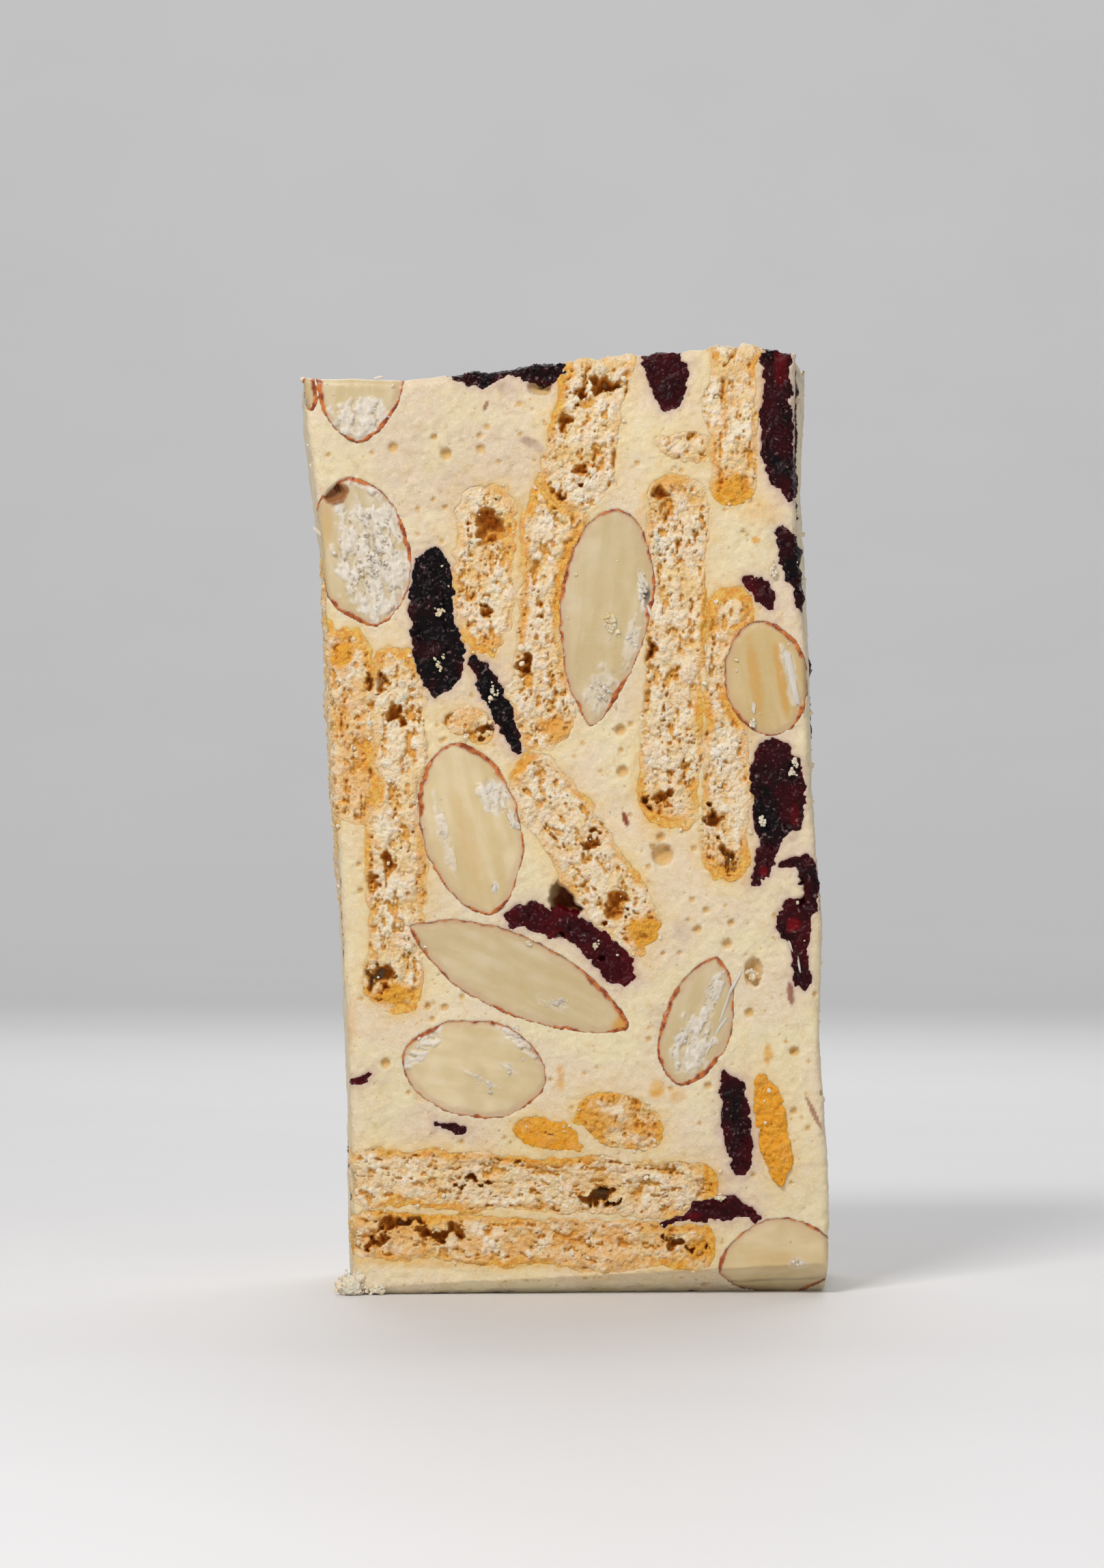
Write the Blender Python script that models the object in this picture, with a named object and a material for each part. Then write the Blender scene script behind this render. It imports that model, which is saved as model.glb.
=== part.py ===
"""A bar of whipped white nougat with almonds, dried cranberries and round biscuits, cut on every side.

It stands on its short end. Metres, +Z up. The cut face in front looks along -Y, and the origin is the middle
of the base.
"""

import math

import bmesh
import bpy
from mathutils import Matrix, Vector

MM = 0.001

# The bar, in millimetres. Its side edges are (height, across) points and its top edge is (across, height)
# points, as seen from the front.
BAR_DEPTH = 24.0
HALF_DEPTH = BAR_DEPTH / 2
LEFT_EDGE = [(0, -20.1), (19, -20.4), (36, -21.1), (55, -22.3), (70, -22.9), (83, -24.6), (90, -24.9)]
RIGHT_EDGE = [(0, 24.6), (10, 24.8), (24, 23.9), (35, 24.1), (48, 23.2), (62, 22.6), (76, 21.4), (90, 21.6)]
TOP_EDGE = [(-25, 86.7), (-15, 86.4), (-5, 87.5), (3, 88.3), (10, 88.9), (17, 89.5), (21, 89.6), (25, 89.0)]
# Three points of the slanting cut along the bottom of the front face.
UNDERCUT = [(-20.4, -12.0, 0.5), (23.9, -12.0, 3.2), (23.9, -7.4, 0.0)]
LEFT_FLARE = 1.3
RIGHT_FLARE = [(0, 0.6), (40, 0.9), (90, 2.2)]
COLUMNS = [-0.75, -0.4, 0.0, 0.4, 0.75]
DEPTH_ROWS = [0.15, 0.55]
HEIGHT_ROWS = [0.11, 0.26, 0.4, 0.54, 0.7, 0.86]
FACE_WAVE = 0.3
EDGE_ROUND = 0.7
GAP = 0.3

# The biscuits are round, with a rounded rim. The chord that a face cuts sets how far inside a centre lies.
BISCUIT_RADIUS = 18.0
RIM_SHARE = 0.4
RIM_STEPS = 2
BISCUIT_SIDES = 14
ALMOND_SIDES = 10
ALMOND_RINGS = 9
POINTED_POWER = 0.4
SPINE_STEPS = 2
PROUD = 1.5

# Each face's turn about Z, and the place of its plane.
FACES = {
    "front": (0.0, (0.0, -HALF_DEPTH, 0.0)),
    "back": (180.0, (0.0, HALF_DEPTH, 0.0)),
    "right": (90.0, (23.6, 0.0, 0.0)),
    "left": (-90.0, (-22.6, 0.0, 0.0)),
}

# name: face, centre across, centre height, length, width, depth, lean of the top to the right,
# how pointed the top and the bottom are, how far inside the face the centre lies
ALMONDS = {
    "almond_top_left": ("front", -19.4, 87.0, 12.8, 8.4, 12.0, 4, (0.2, 0.3), 0.0),
    "almond_left": ("front", -19.4, 70.2, 14.4, 9.4, 13.0, -12, (0.2, 0.3), 0.0),
    "almond_upper_middle": ("front", 3.6, 64.0, 20.6, 8.7, 11.0, 7.4, (0.1, 0.7), 0.0),
    "almond_upper_right": ("front", 18.9, 58.3, 11.0, 8.0, 9.0, -10, (0.1, 0.1), 0.0),
    "almond_middle_left": ("front", -9.0, 44.0, 16.6, 9.5, 12.0, -13, (0.1, 0.3), 0.0),
    "almond_long": ("front", -4.5, 30.1, 22.9, 7.4, 12.0, -65, (0.7, 0.7), 0.0),
    "almond_lower_left": ("front", -8.7, 21.4, 13.8, 9.3, 10.0, -80, (0.2, 0.1), 0.0),
    "almond_lower_right": ("front", 12.4, 25.9, 12.6, 6.6, 8.0, 17, (0.4, 0.1), 0.0),
    "almond_bottom_right": ("front", 20.2, 2.7, 11.6, 9.0, 12.0, 88, (0.2, 0.3), 0.0),
    "almond_back_top": ("back", 10.0, 76.0, 21.0, 11.0, 8.0, 24, (0.2, 0.7), 0.0),
    "almond_back_middle": ("back", 12.0, 47.0, 21.0, 8.6, 10.0, -15, (0.2, 0.7), 0.0),
    "almond_back_left": ("back", -13.0, 28.0, 19.0, 8.0, 11.0, 38, (0.3, 0.6), 0.0),
    "almond_back_right": ("back", 15.0, 20.5, 13.5, 9.0, 10.0, 72, (0.2, 0.2), 0.0),
    "almond_back_bottom": ("back", 6.0, 7.5, 16.0, 8.5, 10.0, -78, (0.3, 0.6), 0.0),
    "almond_right_side": ("right", 3.0, 27.0, 19.0, 8.5, 9.0, 12, (0.2, 0.6), 0.0),
    "almond_left_side": ("left", 6.9, 38.0, 21.0, 8.0, 5.0, 1, (0.2, 0.5), 1.5),
}

# name: face, centre across, centre height, chord, thickness, lean, 1 for a centre inside the face
# and -1 for one outside it, turn about the upright
BISCUITS = {
    "biscuit_top_middle": ("front", 3.5, 91.0, 34.0, 6.6, 10.8, 1, 0),
    "biscuit_upper_left": ("front", -7.6, 68.5, 16.3, 6.0, 0.5, 1, 4),
    "biscuit_upper_middle": ("front", -1.6, 64.5, 25.2, 6.2, 3.5, 1, -3),
    "biscuit_right_inner": ("front", 10.2, 61.0, 33.5, 5.6, 1.9, 1, 0),
    "biscuit_top_right": ("front", 15.7, 91.3, 33.0, 4.8, 0.0, 1, 2),
    "biscuit_right_outer": ("front", 15.3, 53.0, 27.5, 4.5, 1.3, 1, -2),
    "biscuit_left_edge": ("front", -20.9, 53.6, 19.2, 5.5, -1.4, 1, 0),
    "biscuit_left_inner": ("front", -16.1, 43.8, 34.5, 5.5, 0.5, 1, 0),
    "biscuit_middle_slant": ("front", 2.1, 41.4, 21.5, 5.9, -35, 1, 0),
    "biscuit_bottom_upper": ("front", -3.4, 10.5, 35.0, 5.4, -87.4, 1, 0),
    "biscuit_bottom_lower": ("front", -3.3, 5.0, 35.2, 4.6, -88, 1, 0),
    "biscuit_back_low": ("back", -3.0, 20.5, 27.0, 5.5, 80, -1, 0),
}

# name: face, depth, spine of (across, height, half width) points
CRANBERRIES = {
    "cranberry_top_edge": ("front", 8.0, [
        (-10.9, 87.3, 0.5), (-8.2, 87.0, 1.2), (-5, 87.8, 1.0), (-2.2, 87.5, 1.4),
        (-1.2, 87.8, 1.0),
    ]),
    "cranberry_top_middle": ("front", 5.0, [
        (8.6, 90.6, 1.6), (9.3, 87.3, 2.1), (9.8, 85.6, 1.6), (9.5, 84.0, 0.5),
    ]),
    "cranberry_top_right": ("front", 5.0, [
        (20.0, 91.5, 1.5), (20.0, 86.3, 1.3), (19.9, 82.4, 1.6), (20.3, 78.5, 1.5),
        (21.1, 75.6, 0.5),
    ]),
    "cranberry_right_edge": ("front", 5.0, [
        (20.3, 72.2, 0.6), (21.4, 70.2, 1.3), (22.1, 67.7, 1.0), (22.5, 65.3, 0.6),
    ]),
    "cranberry_chip_right": ("front", 3.0, [
        (17.2, 67.4, 0.5), (18.4, 66.5, 1.0), (19.3, 65.2, 0.6),
    ]),
    "cranberry_left_large": ("front", 5.5, [
        (-12.2, 70.4, 0.4), (-12.7, 68.4, 1.8), (-12.7, 65.6, 2.1), (-12.5, 62.7, 2.3),
        (-11.9, 59.8, 2.3), (-12.2, 57.3, 0.6),
    ]),
    "cranberry_left_tail": ("front", 4.0, [
        (-8.8, 59.7, 0.6), (-8.1, 59.4, 0.8), (-7.2, 57.5, 1.0), (-6.2, 55.3, 0.9),
        (-5.3, 53.4, 0.8), (-4.5, 51.6, 0.4),
    ]),
    "cranberry_middle": ("front", 4.5, [
        (-5.0, 35.5, 0.8), (-3.5, 35.7, 1.3), (-0.9, 35.1, 1.3), (1.3, 34.3, 1.2), (3.2, 32.9, 1.4),
        (4.9, 31.1, 1.6), (5.3, 29.9, 0.6),
    ]),
    "cranberry_right_large": ("front", 5.0, [
        (18.5, 51.5, 0.8), (19.5, 50.4, 2.0), (20.1, 48.2, 2.6), (20.0, 45.9, 2.4),
        (19.6, 44.0, 1.5), (19.0, 41.7, 1.0), (18.0, 39.2, 0.6),
    ]),
    "cranberry_right_hook": ("front", 4.0, [
        (20.8, 40.9, 0.5), (22.3, 41.0, 0.8), (23.0, 39.5, 0.8), (22.9, 37.2, 0.9),
        (21.6, 35.6, 1.7), (22.0, 33.7, 1.2), (22.0, 31.7, 0.7), (22.4, 30.0, 0.8),
        (22.6, 28.9, 0.4),
    ]),
    "cranberry_lower_right": ("front", 5.0, [
        (15.0, 20.9, 0.4), (15.6, 19.2, 1.2), (16.0, 16.6, 1.3), (16.4, 14.0, 1.4),
        (16.5, 12.3, 0.9),
    ]),
    "cranberry_bottom": ("front", 4.0, [
        (9.3, 6.7, 0.3), (11.3, 7.4, 0.5), (13.8, 8.3, 1.1), (16.2, 8.3, 1.0), (18.2, 7.2, 0.3),
    ]),
    "cranberry_shred_left": ("front", 2.5, [
        (-21.5, 19.8, 0.5), (-19.3, 20.5, 0.5), (-18.1, 21.1, 0.3),
    ]),
    "cranberry_shred_low": ("front", 2.0, [
        (-12.3, 16.2, 0.4), (-11.2, 15.9, 0.5), (-9.7, 15.5, 0.3),
    ]),
    "cranberry_back_top": ("back", 5.0, [
        (-15.0, 83.0, 0.6), (-14.0, 80.0, 1.9), (-15.5, 76.5, 2.2), (-14.5, 73.0, 0.8),
    ]),
    "cranberry_back_middle": ("back", 4.5, [
        (-8.0, 69.0, 0.7), (-8.6, 65.5, 1.7), (-9.8, 61.5, 1.8), (-8.8, 58.5, 0.7),
    ]),
    "cranberry_back_left": ("back", 4.5, [
        (17.0, 34.5, 0.7), (14.0, 33.5, 1.5), (10.5, 31.0, 1.7), (7.5, 31.5, 0.8),
    ]),
    "cranberry_back_right": ("back", 4.5, [
        (-17.5, 13.0, 0.7), (-14.5, 11.5, 1.7), (-11.0, 12.0, 1.6), (-8.6, 10.4, 0.6),
    ]),
    "cranberry_side_top": ("right", 5.0, [
        (-8.5, 88.0, 1.6), (-7.0, 83.0, 2.4), (-6.5, 78.5, 2.6), (-7.5, 74.5, 1.2),
    ]),
    "cranberry_side_middle": ("right", 4.0, [
        (3.0, 61.0, 0.7), (5.0, 57.5, 1.9), (4.0, 53.0, 2.0), (5.5, 50.0, 0.7),
    ]),
    "cranberry_left_side": ("left", 4.0, [
        (-4.5, 15.5, 0.7), (-2.0, 12.0, 1.9), (2.0, 10.5, 1.7), (5.0, 8.0, 0.7),
    ]),
}
CRUMBS = {
    "biscuit_bit_upper": ("front", 6.0, [
        (8.6, 80.9, 0.3), (10.0, 80.2, 1.1), (11.7, 80.1, 1.5), (12.6, 80.1, 1.2),
    ]),
    "biscuit_bit_left": ("front", 6.0, [
        (-11.0, 54.3, 0.6), (-9.4, 54.2, 1.4), (-8.2, 53.4, 1.4),
    ]),
    "biscuit_bit_low": ("front", 6.0, [
        (-4.2, 15.6, 0.8), (-2.9, 15.3, 1.4), (-0.8, 15.0, 1.3), (1.2, 14.0, 0.4),
    ]),
    "biscuit_arch_low": ("front", 8.0, [
        (1.3, 16.8, 0.6), (2.8, 17.3, 1.7), (5.0, 16.5, 2.5), (7.0, 15.8, 2.0), (8.0, 15.4, 1.0),
    ]),
    "biscuit_crust_right": ("front", 5.0, [
        (18.5, 20.4, 0.5), (19.0, 18.5, 1.2), (19.5, 15.6, 1.5), (20.0, 12.7, 1.3),
        (20.2, 10.9, 0.5),
    ]),
}
ALMOND_CHIPS = {
    "almond_chip": ("front", 5.0, [
        (-24.4, 86.4, 0.5), (-24.3, 85.2, 0.8), (-24.2, 84.0, 0.4),
    ]),
}


def clear_scene():
    for obj in list(bpy.data.objects):
        bpy.data.objects.remove(obj, do_unlink=True)


def new_collection(name):
    collection = bpy.data.collections.new(name)
    bpy.context.scene.collection.children.link(collection)
    return collection


def new_material(name, color, roughness):
    material = bpy.data.materials.new(name)
    material.use_nodes = True
    shader = material.node_tree.nodes["Principled BSDF"]
    shader.inputs["Base Color"].default_value = (*color, 1.0)
    shader.inputs["Roughness"].default_value = roughness
    shader.inputs["Metallic"].default_value = 0.0
    return material


def read_line(points, at):
    """The value at one place of a line of (place, value) points, straight between neighbours."""
    for (start, low), (end, high) in zip(points, points[1:]):
        if at <= end:
            share = (at - start) / (end - start)
            return low + (high - low) * share
    return points[-1][1]


def face_matrix(face, across, height, lean, inward, turn=0.0):
    """Stands a piece on a face of the bar: local X runs across it, Z up it, and Y into the bar."""
    about_z, plane = FACES[face]
    turned = Matrix.Rotation(math.radians(about_z), 4, "Z")
    placed = Matrix.Translation(Vector((across, 0.0, height)) * MM)
    leaning = Matrix.Rotation(math.radians(lean), 4, "Y")
    yawed = Matrix.Rotation(math.radians(turn), 4, "Z")
    inside = Matrix.Translation(Vector((0.0, inward, 0.0)) * MM)
    return Matrix.Translation(Vector(plane) * MM) @ turned @ placed @ leaning @ yawed @ inside


def object_from_mesh(name, mesh, collection, matrix=None):
    obj = bpy.data.objects.new(name, mesh)
    collection.objects.link(obj)
    if matrix is not None:
        obj.matrix_world = matrix
    return obj


def bar_point(u, v, w):
    """The place of the cube point (u, v, w) in the bar: u from -1 to 1 across, v and w from 0 to 1."""
    top = read_line(TOP_EDGE, 25 * u)
    height = top * w
    left = read_line(LEFT_EDGE, height) - LEFT_FLARE * v
    right = read_line(RIGHT_EDGE, height) + read_line(RIGHT_FLARE, height) * v
    across = left + (right - left) * (u + 1) / 2
    wave = FACE_WAVE * math.sin(0.21 * height + 1.3 * u) * math.sin(0.6 + 0.09 * height)
    return Vector((across, BAR_DEPTH * (v - 0.5) + wave * (1 - v), height)) * MM


def bar_block(collection):
    """The bar before anything is cut from it: a cube, sliced into rows and drawn to the real outline."""
    bm = bmesh.new()
    bmesh.ops.create_cube(bm, size=2.0)
    slices = [("x", u) for u in COLUMNS]
    slices += [("y", 2 * v - 1) for v in DEPTH_ROWS]
    slices += [("z", 2 * w - 1) for w in HEIGHT_ROWS]
    for axis, at in slices:
        normal = Vector([float(axis == name) for name in "xyz"])
        whole = bm.verts[:] + bm.edges[:] + bm.faces[:]
        bmesh.ops.bisect_plane(bm, geom=whole, dist=1e-6, plane_co=normal * at, plane_no=normal)
    for vert in bm.verts:
        u, v, w = vert.co.x, (vert.co.y + 1) / 2, (vert.co.z + 1) / 2
        vert.co = bar_point(u, v, w)
    sharp = [edge for edge in bm.edges if edge.calc_face_angle() > math.radians(55)]
    bmesh.ops.bevel(bm, geom=sharp, offset=EDGE_ROUND * MM, segments=1, affect="EDGES", profile=0.5)
    left, right, behind = (Vector(point) * MM for point in UNDERCUT)
    outward = (behind - right).cross(left - right).normalized()
    if outward.z > 0:
        outward.negate()
    whole = bm.verts[:] + bm.edges[:] + bm.faces[:]
    cut = bmesh.ops.bisect_plane(
        bm, geom=whole, dist=1e-6, plane_co=right, plane_no=outward, clear_outer=True,
    )
    rim = [item for item in cut["geom_cut"] if isinstance(item, bmesh.types.BMEdge)]
    bmesh.ops.edgeloop_fill(bm, edges=rim)
    bmesh.ops.recalc_face_normals(bm, faces=bm.faces[:])
    mesh = bpy.data.meshes.new("bar_block")
    bm.to_mesh(mesh)
    bm.free()
    return object_from_mesh("bar_block", mesh, collection)


def almond_object(name, spec, grow, collection):
    face, across, height, length, width, depth, lean, points, sunk = spec
    top_power, bottom_power = (0.5 + POINTED_POWER * point for point in points)
    peak_at = (bottom_power - top_power) / (bottom_power + top_power)
    peak = (1 - peak_at) ** top_power * (1 + peak_at) ** bottom_power
    bm = bmesh.new()
    bmesh.ops.create_uvsphere(bm, u_segments=ALMOND_SIDES, v_segments=ALMOND_RINGS, radius=1.0)
    for vert in bm.verts:
        along = vert.co.z
        ring = math.hypot(vert.co.x, vert.co.y)
        if ring > 1e-6:
            swell = (1 - along) ** top_power * (1 + along) ** bottom_power / peak / ring
            vert.co.x *= swell
            vert.co.y *= swell
        half = Vector((width / 2 + grow, depth / 2 + grow, length / 2 + grow)) * MM
        vert.co = Vector((vert.co.x * half.x, vert.co.y * half.y, along * half.z))
    mesh = bpy.data.meshes.new(name)
    bm.to_mesh(mesh)
    bm.free()
    return object_from_mesh(name, mesh, collection, face_matrix(face, across, height, lean, sunk))


def biscuit_object(name, spec, grow, collection):
    face, across, height, chord, thickness, lean, side, turn = spec
    inward = side * math.sqrt(BISCUIT_RADIUS**2 - (chord / 2) ** 2)
    bm = bmesh.new()
    radius = (BISCUIT_RADIUS + grow) * MM
    thick = (thickness + 2 * grow) * MM
    bmesh.ops.create_cone(
        bm, cap_ends=True, segments=BISCUIT_SIDES, radius1=radius, radius2=radius, depth=thick,
        matrix=Matrix.Rotation(math.radians(90), 4, "Y"),
    )
    rim = [edge for edge in bm.edges if edge.calc_face_angle() > math.radians(60)]
    bmesh.ops.bevel(bm, geom=rim, offset=RIM_SHARE * thick, segments=RIM_STEPS, affect="EDGES", profile=0.5)
    mesh = bpy.data.meshes.new(name)
    bm.to_mesh(mesh)
    bm.free()
    return object_from_mesh(name, mesh, collection, face_matrix(face, across, height, lean, inward, turn))


def spine_value(a, b, c, d, t):
    """One coordinate of a Catmull-Rom curve, a share t of the way from b to c."""
    bend = (2 * a - 5 * b + 4 * c - d) * t**2 + (3 * b - a - 3 * c + d) * t**3
    return 0.5 * (2 * b + (c - a) * t + bend)


def smooth_spine(spine):
    """More points along a spine, on a Catmull-Rom curve through its own."""
    ends = [spine[0], *spine, spine[-1]]
    smooth = []
    for four in zip(ends, ends[1:], ends[2:], ends[3:]):
        for step in range(SPINE_STEPS):
            smooth.append(tuple(spine_value(*values, step / SPINE_STEPS) for values in zip(*four)))
    return smooth + [spine[-1]]


def ribbon_outline(spine, grow):
    """The closed outline of a ribbon of varying width round (across, height, half width) points."""
    points = smooth_spine(spine)
    left, right = [], []
    for index, (x, z, half) in enumerate(points):
        before = points[max(index - 1, 0)]
        after = points[min(index + 1, len(points) - 1)]
        along = Vector((after[0] - before[0], after[1] - before[1])).normalized()
        across = Vector((-along.y, along.x)) * (half + grow)
        left.append(Vector((x, z)) + across)
        right.append(Vector((x, z)) - across)
        if index == 0:
            first_tip = Vector((x, z)) - along * (half + grow)
        last_tip = Vector((x, z)) + along * (half + grow)
    return [first_tip, *left, last_tip, *reversed(right)]


def ribbon_object(name, spec, grow, collection):
    """A flat outline, carried into the bar, that stands proud of the face until it is trimmed."""
    face, depth, spine = spec
    bm = bmesh.new()
    outline = [bm.verts.new((x * MM, -PROUD * MM, z * MM)) for x, z in ribbon_outline(spine, grow)]
    drawn = bm.faces.new(outline)
    carried = bmesh.ops.extrude_face_region(bm, geom=[drawn])["geom"]
    inner = [item for item in carried if isinstance(item, bmesh.types.BMVert)]
    bmesh.ops.translate(bm, verts=inner, vec=Vector((0.0, depth + grow + PROUD, 0.0)) * MM)
    bmesh.ops.recalc_face_normals(bm, faces=bm.faces[:])
    mesh = bpy.data.meshes.new(name)
    bm.to_mesh(mesh)
    bm.free()
    return object_from_mesh(name, mesh, collection, face_matrix(face, 0.0, 0.0, 0.0, 0.0))


def largest_body(mesh):
    """Drops every loose scrap of a mesh, so that its largest body is left."""
    bm = bmesh.new()
    bm.from_mesh(mesh)
    bmesh.ops.remove_doubles(bm, verts=bm.verts[:], dist=1e-6)
    waiting = set(bm.faces)
    bodies = []
    while waiting:
        body, edge_of_body = set(), [waiting.pop()]
        while edge_of_body:
            face = edge_of_body.pop()
            body.add(face)
            for edge in face.edges:
                for neighbour in edge.link_faces:
                    if neighbour in waiting:
                        waiting.remove(neighbour)
                        edge_of_body.append(neighbour)
        bodies.append(body)
    bodies.sort(key=lambda body: sum(face.calc_area() for face in body))
    scraps = [face for body in bodies[:-1] for face in body]
    bmesh.ops.delete(bm, geom=scraps, context="FACES")
    bmesh.ops.triangulate(bm, faces=bm.faces[:])
    bm.to_mesh(mesh)
    bm.free()


def trimmed(obj, operation, cutters, collection):
    """The object after one Boolean with some others, as a new object that takes its name."""
    if not cutters:
        return obj
    group = bpy.data.collections.new("cutters_of_" + obj.name)
    for cutter in cutters:
        group.objects.link(cutter)
    boolean = obj.modifiers.new("trim", "BOOLEAN")
    boolean.operation = operation
    boolean.solver = "EXACT"
    boolean.operand_type = "COLLECTION"
    boolean.collection = group
    bpy.context.view_layer.update()
    graph = bpy.context.evaluated_depsgraph_get()
    mesh = bpy.data.meshes.new_from_object(obj.evaluated_get(graph))
    mesh.transform(obj.matrix_world)
    largest_body(mesh)
    name = obj.name
    bpy.data.objects.remove(obj, do_unlink=True)
    bpy.data.collections.remove(group)
    return object_from_mesh(name, mesh, collection)


def world_box(obj):
    corners = [obj.matrix_world @ vert.co for vert in obj.data.vertices]
    return [(min(c[axis] for c in corners), max(c[axis] for c in corners)) for axis in range(3)]


def boxes_meet(one, other):
    return all(a[0] <= b[1] and b[0] <= a[1] for a, b in zip(one, other))


def centre_on_base(pieces):
    """Moves every piece by the same small step, so that the origin is the middle of the bar's base."""
    boxes = [world_box(piece) for piece in pieces]
    lowest = [min(box[axis][0] for box in boxes) for axis in range(3)]
    highest = [max(box[axis][1] for box in boxes) for axis in range(3)]
    step = Vector((-(lowest[0] + highest[0]) / 2, -(lowest[1] + highest[1]) / 2, -lowest[2]))
    for piece in pieces:
        piece.data.transform(Matrix.Translation(step))


def main():
    clear_scene()
    bar = new_collection("nougat_bar")
    helpers = new_collection("cutters")
    materials = {
        "nougat": new_material("nougat", (0.78, 0.62, 0.38), 0.6),
        "almond": new_material("almond", (0.64, 0.48, 0.28), 0.5),
        "cranberry": new_material("cranberry", (0.045, 0.008, 0.014), 0.4),
        "biscuit": new_material("biscuit", (0.72, 0.45, 0.16), 0.9),
    }
    kinds = [
        ("almond", ALMONDS, almond_object),
        ("almond", ALMOND_CHIPS, ribbon_object),
        ("cranberry", CRANBERRIES, ribbon_object),
        ("biscuit", BISCUITS, biscuit_object),
        ("biscuit", CRUMBS, ribbon_object),
    ]
    block = bar_block(helpers)
    bpy.context.view_layer.update()
    pockets = []
    for slot, specs, make in kinds:
        for name, spec in specs.items():
            pocket = make(name + "_pocket", spec, GAP, helpers)
            piece = trimmed(make(name, spec, 0.0, bar), "INTERSECT", [block], bar)
            near = [other for other in pockets if boxes_meet(world_box(piece), world_box(other))]
            piece = trimmed(piece, "DIFFERENCE", near, bar)
            piece.data.materials.clear()
            piece.data.materials.append(materials[slot])
            pockets.append(pocket)
    nougat = object_from_mesh("nougat", block.data.copy(), bar)
    nougat = trimmed(nougat, "DIFFERENCE", pockets, bar)
    nougat.data.materials.clear()
    nougat.data.materials.append(materials["nougat"])
    for helper in [*pockets, block]:
        bpy.data.objects.remove(helper, do_unlink=True)
    bpy.data.collections.remove(helpers)
    centre_on_base(bar.objects)


main()
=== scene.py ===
"""The looks of a nougat bar with almonds, dried cranberries and biscuits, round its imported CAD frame."""

import math

import bmesh
import bpy
import numpy as np
from mathutils import Matrix, Vector

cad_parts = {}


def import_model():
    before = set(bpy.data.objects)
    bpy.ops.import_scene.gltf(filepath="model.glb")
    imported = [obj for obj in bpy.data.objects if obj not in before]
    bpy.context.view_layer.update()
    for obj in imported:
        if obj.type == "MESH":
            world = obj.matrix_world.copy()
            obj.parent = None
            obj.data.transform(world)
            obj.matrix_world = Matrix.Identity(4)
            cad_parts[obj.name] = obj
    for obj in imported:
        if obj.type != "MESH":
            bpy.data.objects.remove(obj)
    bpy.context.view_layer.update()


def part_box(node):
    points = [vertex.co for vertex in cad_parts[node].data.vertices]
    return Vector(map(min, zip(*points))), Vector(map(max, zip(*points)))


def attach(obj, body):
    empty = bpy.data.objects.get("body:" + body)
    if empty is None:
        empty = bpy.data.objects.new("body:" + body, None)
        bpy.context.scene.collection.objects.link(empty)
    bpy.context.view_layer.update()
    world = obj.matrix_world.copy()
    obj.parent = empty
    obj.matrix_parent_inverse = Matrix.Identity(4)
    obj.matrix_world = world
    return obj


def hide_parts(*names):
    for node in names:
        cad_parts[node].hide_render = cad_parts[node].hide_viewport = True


MM = 0.001

# The bar, in millimetres, as its CAD solid has it.
# Its side edges are (height, across) points and its top edge (across, height) points.
HALF_X, HALF_Y, TALL = 22.4, 12.0, 88.0
LEFT_EDGE = [(0, -20.1), (19, -20.4), (36, -21.1), (55, -22.3), (70, -22.9), (83, -24.6), (90, -24.9)]
RIGHT_EDGE = [(0, 24.6), (10, 24.8), (24, 23.9), (35, 24.1), (48, 23.2), (62, 22.6), (76, 21.4), (90, 21.6)]
TOP_EDGE = [(-25, 86.7), (-15, 86.4), (-5, 87.5), (3, 88.3), (10, 88.9), (17, 89.5), (21, 89.6), (25, 89.0)]
RIGHT_FLARE = [(0, 0.6), (40, 0.9), (90, 2.2)]
LEFT_FLARE = 1.3
UNDERCUT = [(-20.4, -12.0, 0.5), (23.9, -12.0, 3.2), (23.9, -7.4, 0.0)]
FACE_WAVE = 0.3

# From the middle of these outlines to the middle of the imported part
CENTRING = (0.24, 0.141, 0.0)

# Sheets of the surface turn round the bar's edges and go on for EDGE_WRAP. Their neighbours start SEAM_LAP
# before their ends, and each sheet sinks by SEAM_SINK over its last SEAM.
EDGE_ROUND = 0.8
EDGE_WRAP = 1.0
SEAM = 0.25
SEAM_LAP = 0.9
SEAM_SINK = 0.1
SIDE_INSET = EDGE_ROUND + EDGE_WRAP - SEAM_LAP

# Mesh spacing on the front, which is the face in the photograph, and on the others. A piece's mesh goes on
# for PATCH_EDGE past its outline, where it sinks by POCKET_DEPTH, and closes BACK_DEPTH behind its face.
# WINDOW_STEP is the spacing of the search for where it shows.
FRONT_STEP = {"nougat": 0.17, "biscuit": 0.104, "almond": 0.14, "cranberry": 0.12}
OTHER_STEP = {"nougat": 0.42, "biscuit": 0.27, "almond": 0.26, "cranberry": 0.24}
PATCH_EDGE = 0.34
POCKET_DEPTH = 1.3
BACK_DEPTH = 4.0
WINDOW_STEP = 0.8

# Distances that stand for no piece near
FAR, FAR_OUT = 9.0, 99.0

# The waves in the faces, the small pits in the nougat as (count, how much larger the largest are),
# how deep the hollows may reach, and the gaps, pores and caves in the biscuits
SWELL_HEIGHT, SWELL_SIZE = 0.16, 5.0
FRONT_PITS, OTHER_PITS = (900, 0.18), (170, 0.6)
SMALLEST_PIT = 0.12
HOLLOW_REACH, CAVE_REACH = 3.0, 4.0
GAP_DEPTH, PORE_DEPTH, CAVE_SHAKE = 0.55, 0.3, 1.1

# How ragged the outlines are, and the loose crumbs on each face
RAGGED = {"cranberry": 0.5, "biscuit": 0.35, "almond": 0.2}
CRUMB_COUNTS = {"front": 260, "back": 120, "left": 60, "right": 60, "top": 50}
CRUMB_SIZES, SHAVING_SIZES = (0.09, 0.30), (0.08, 0.2)

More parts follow.
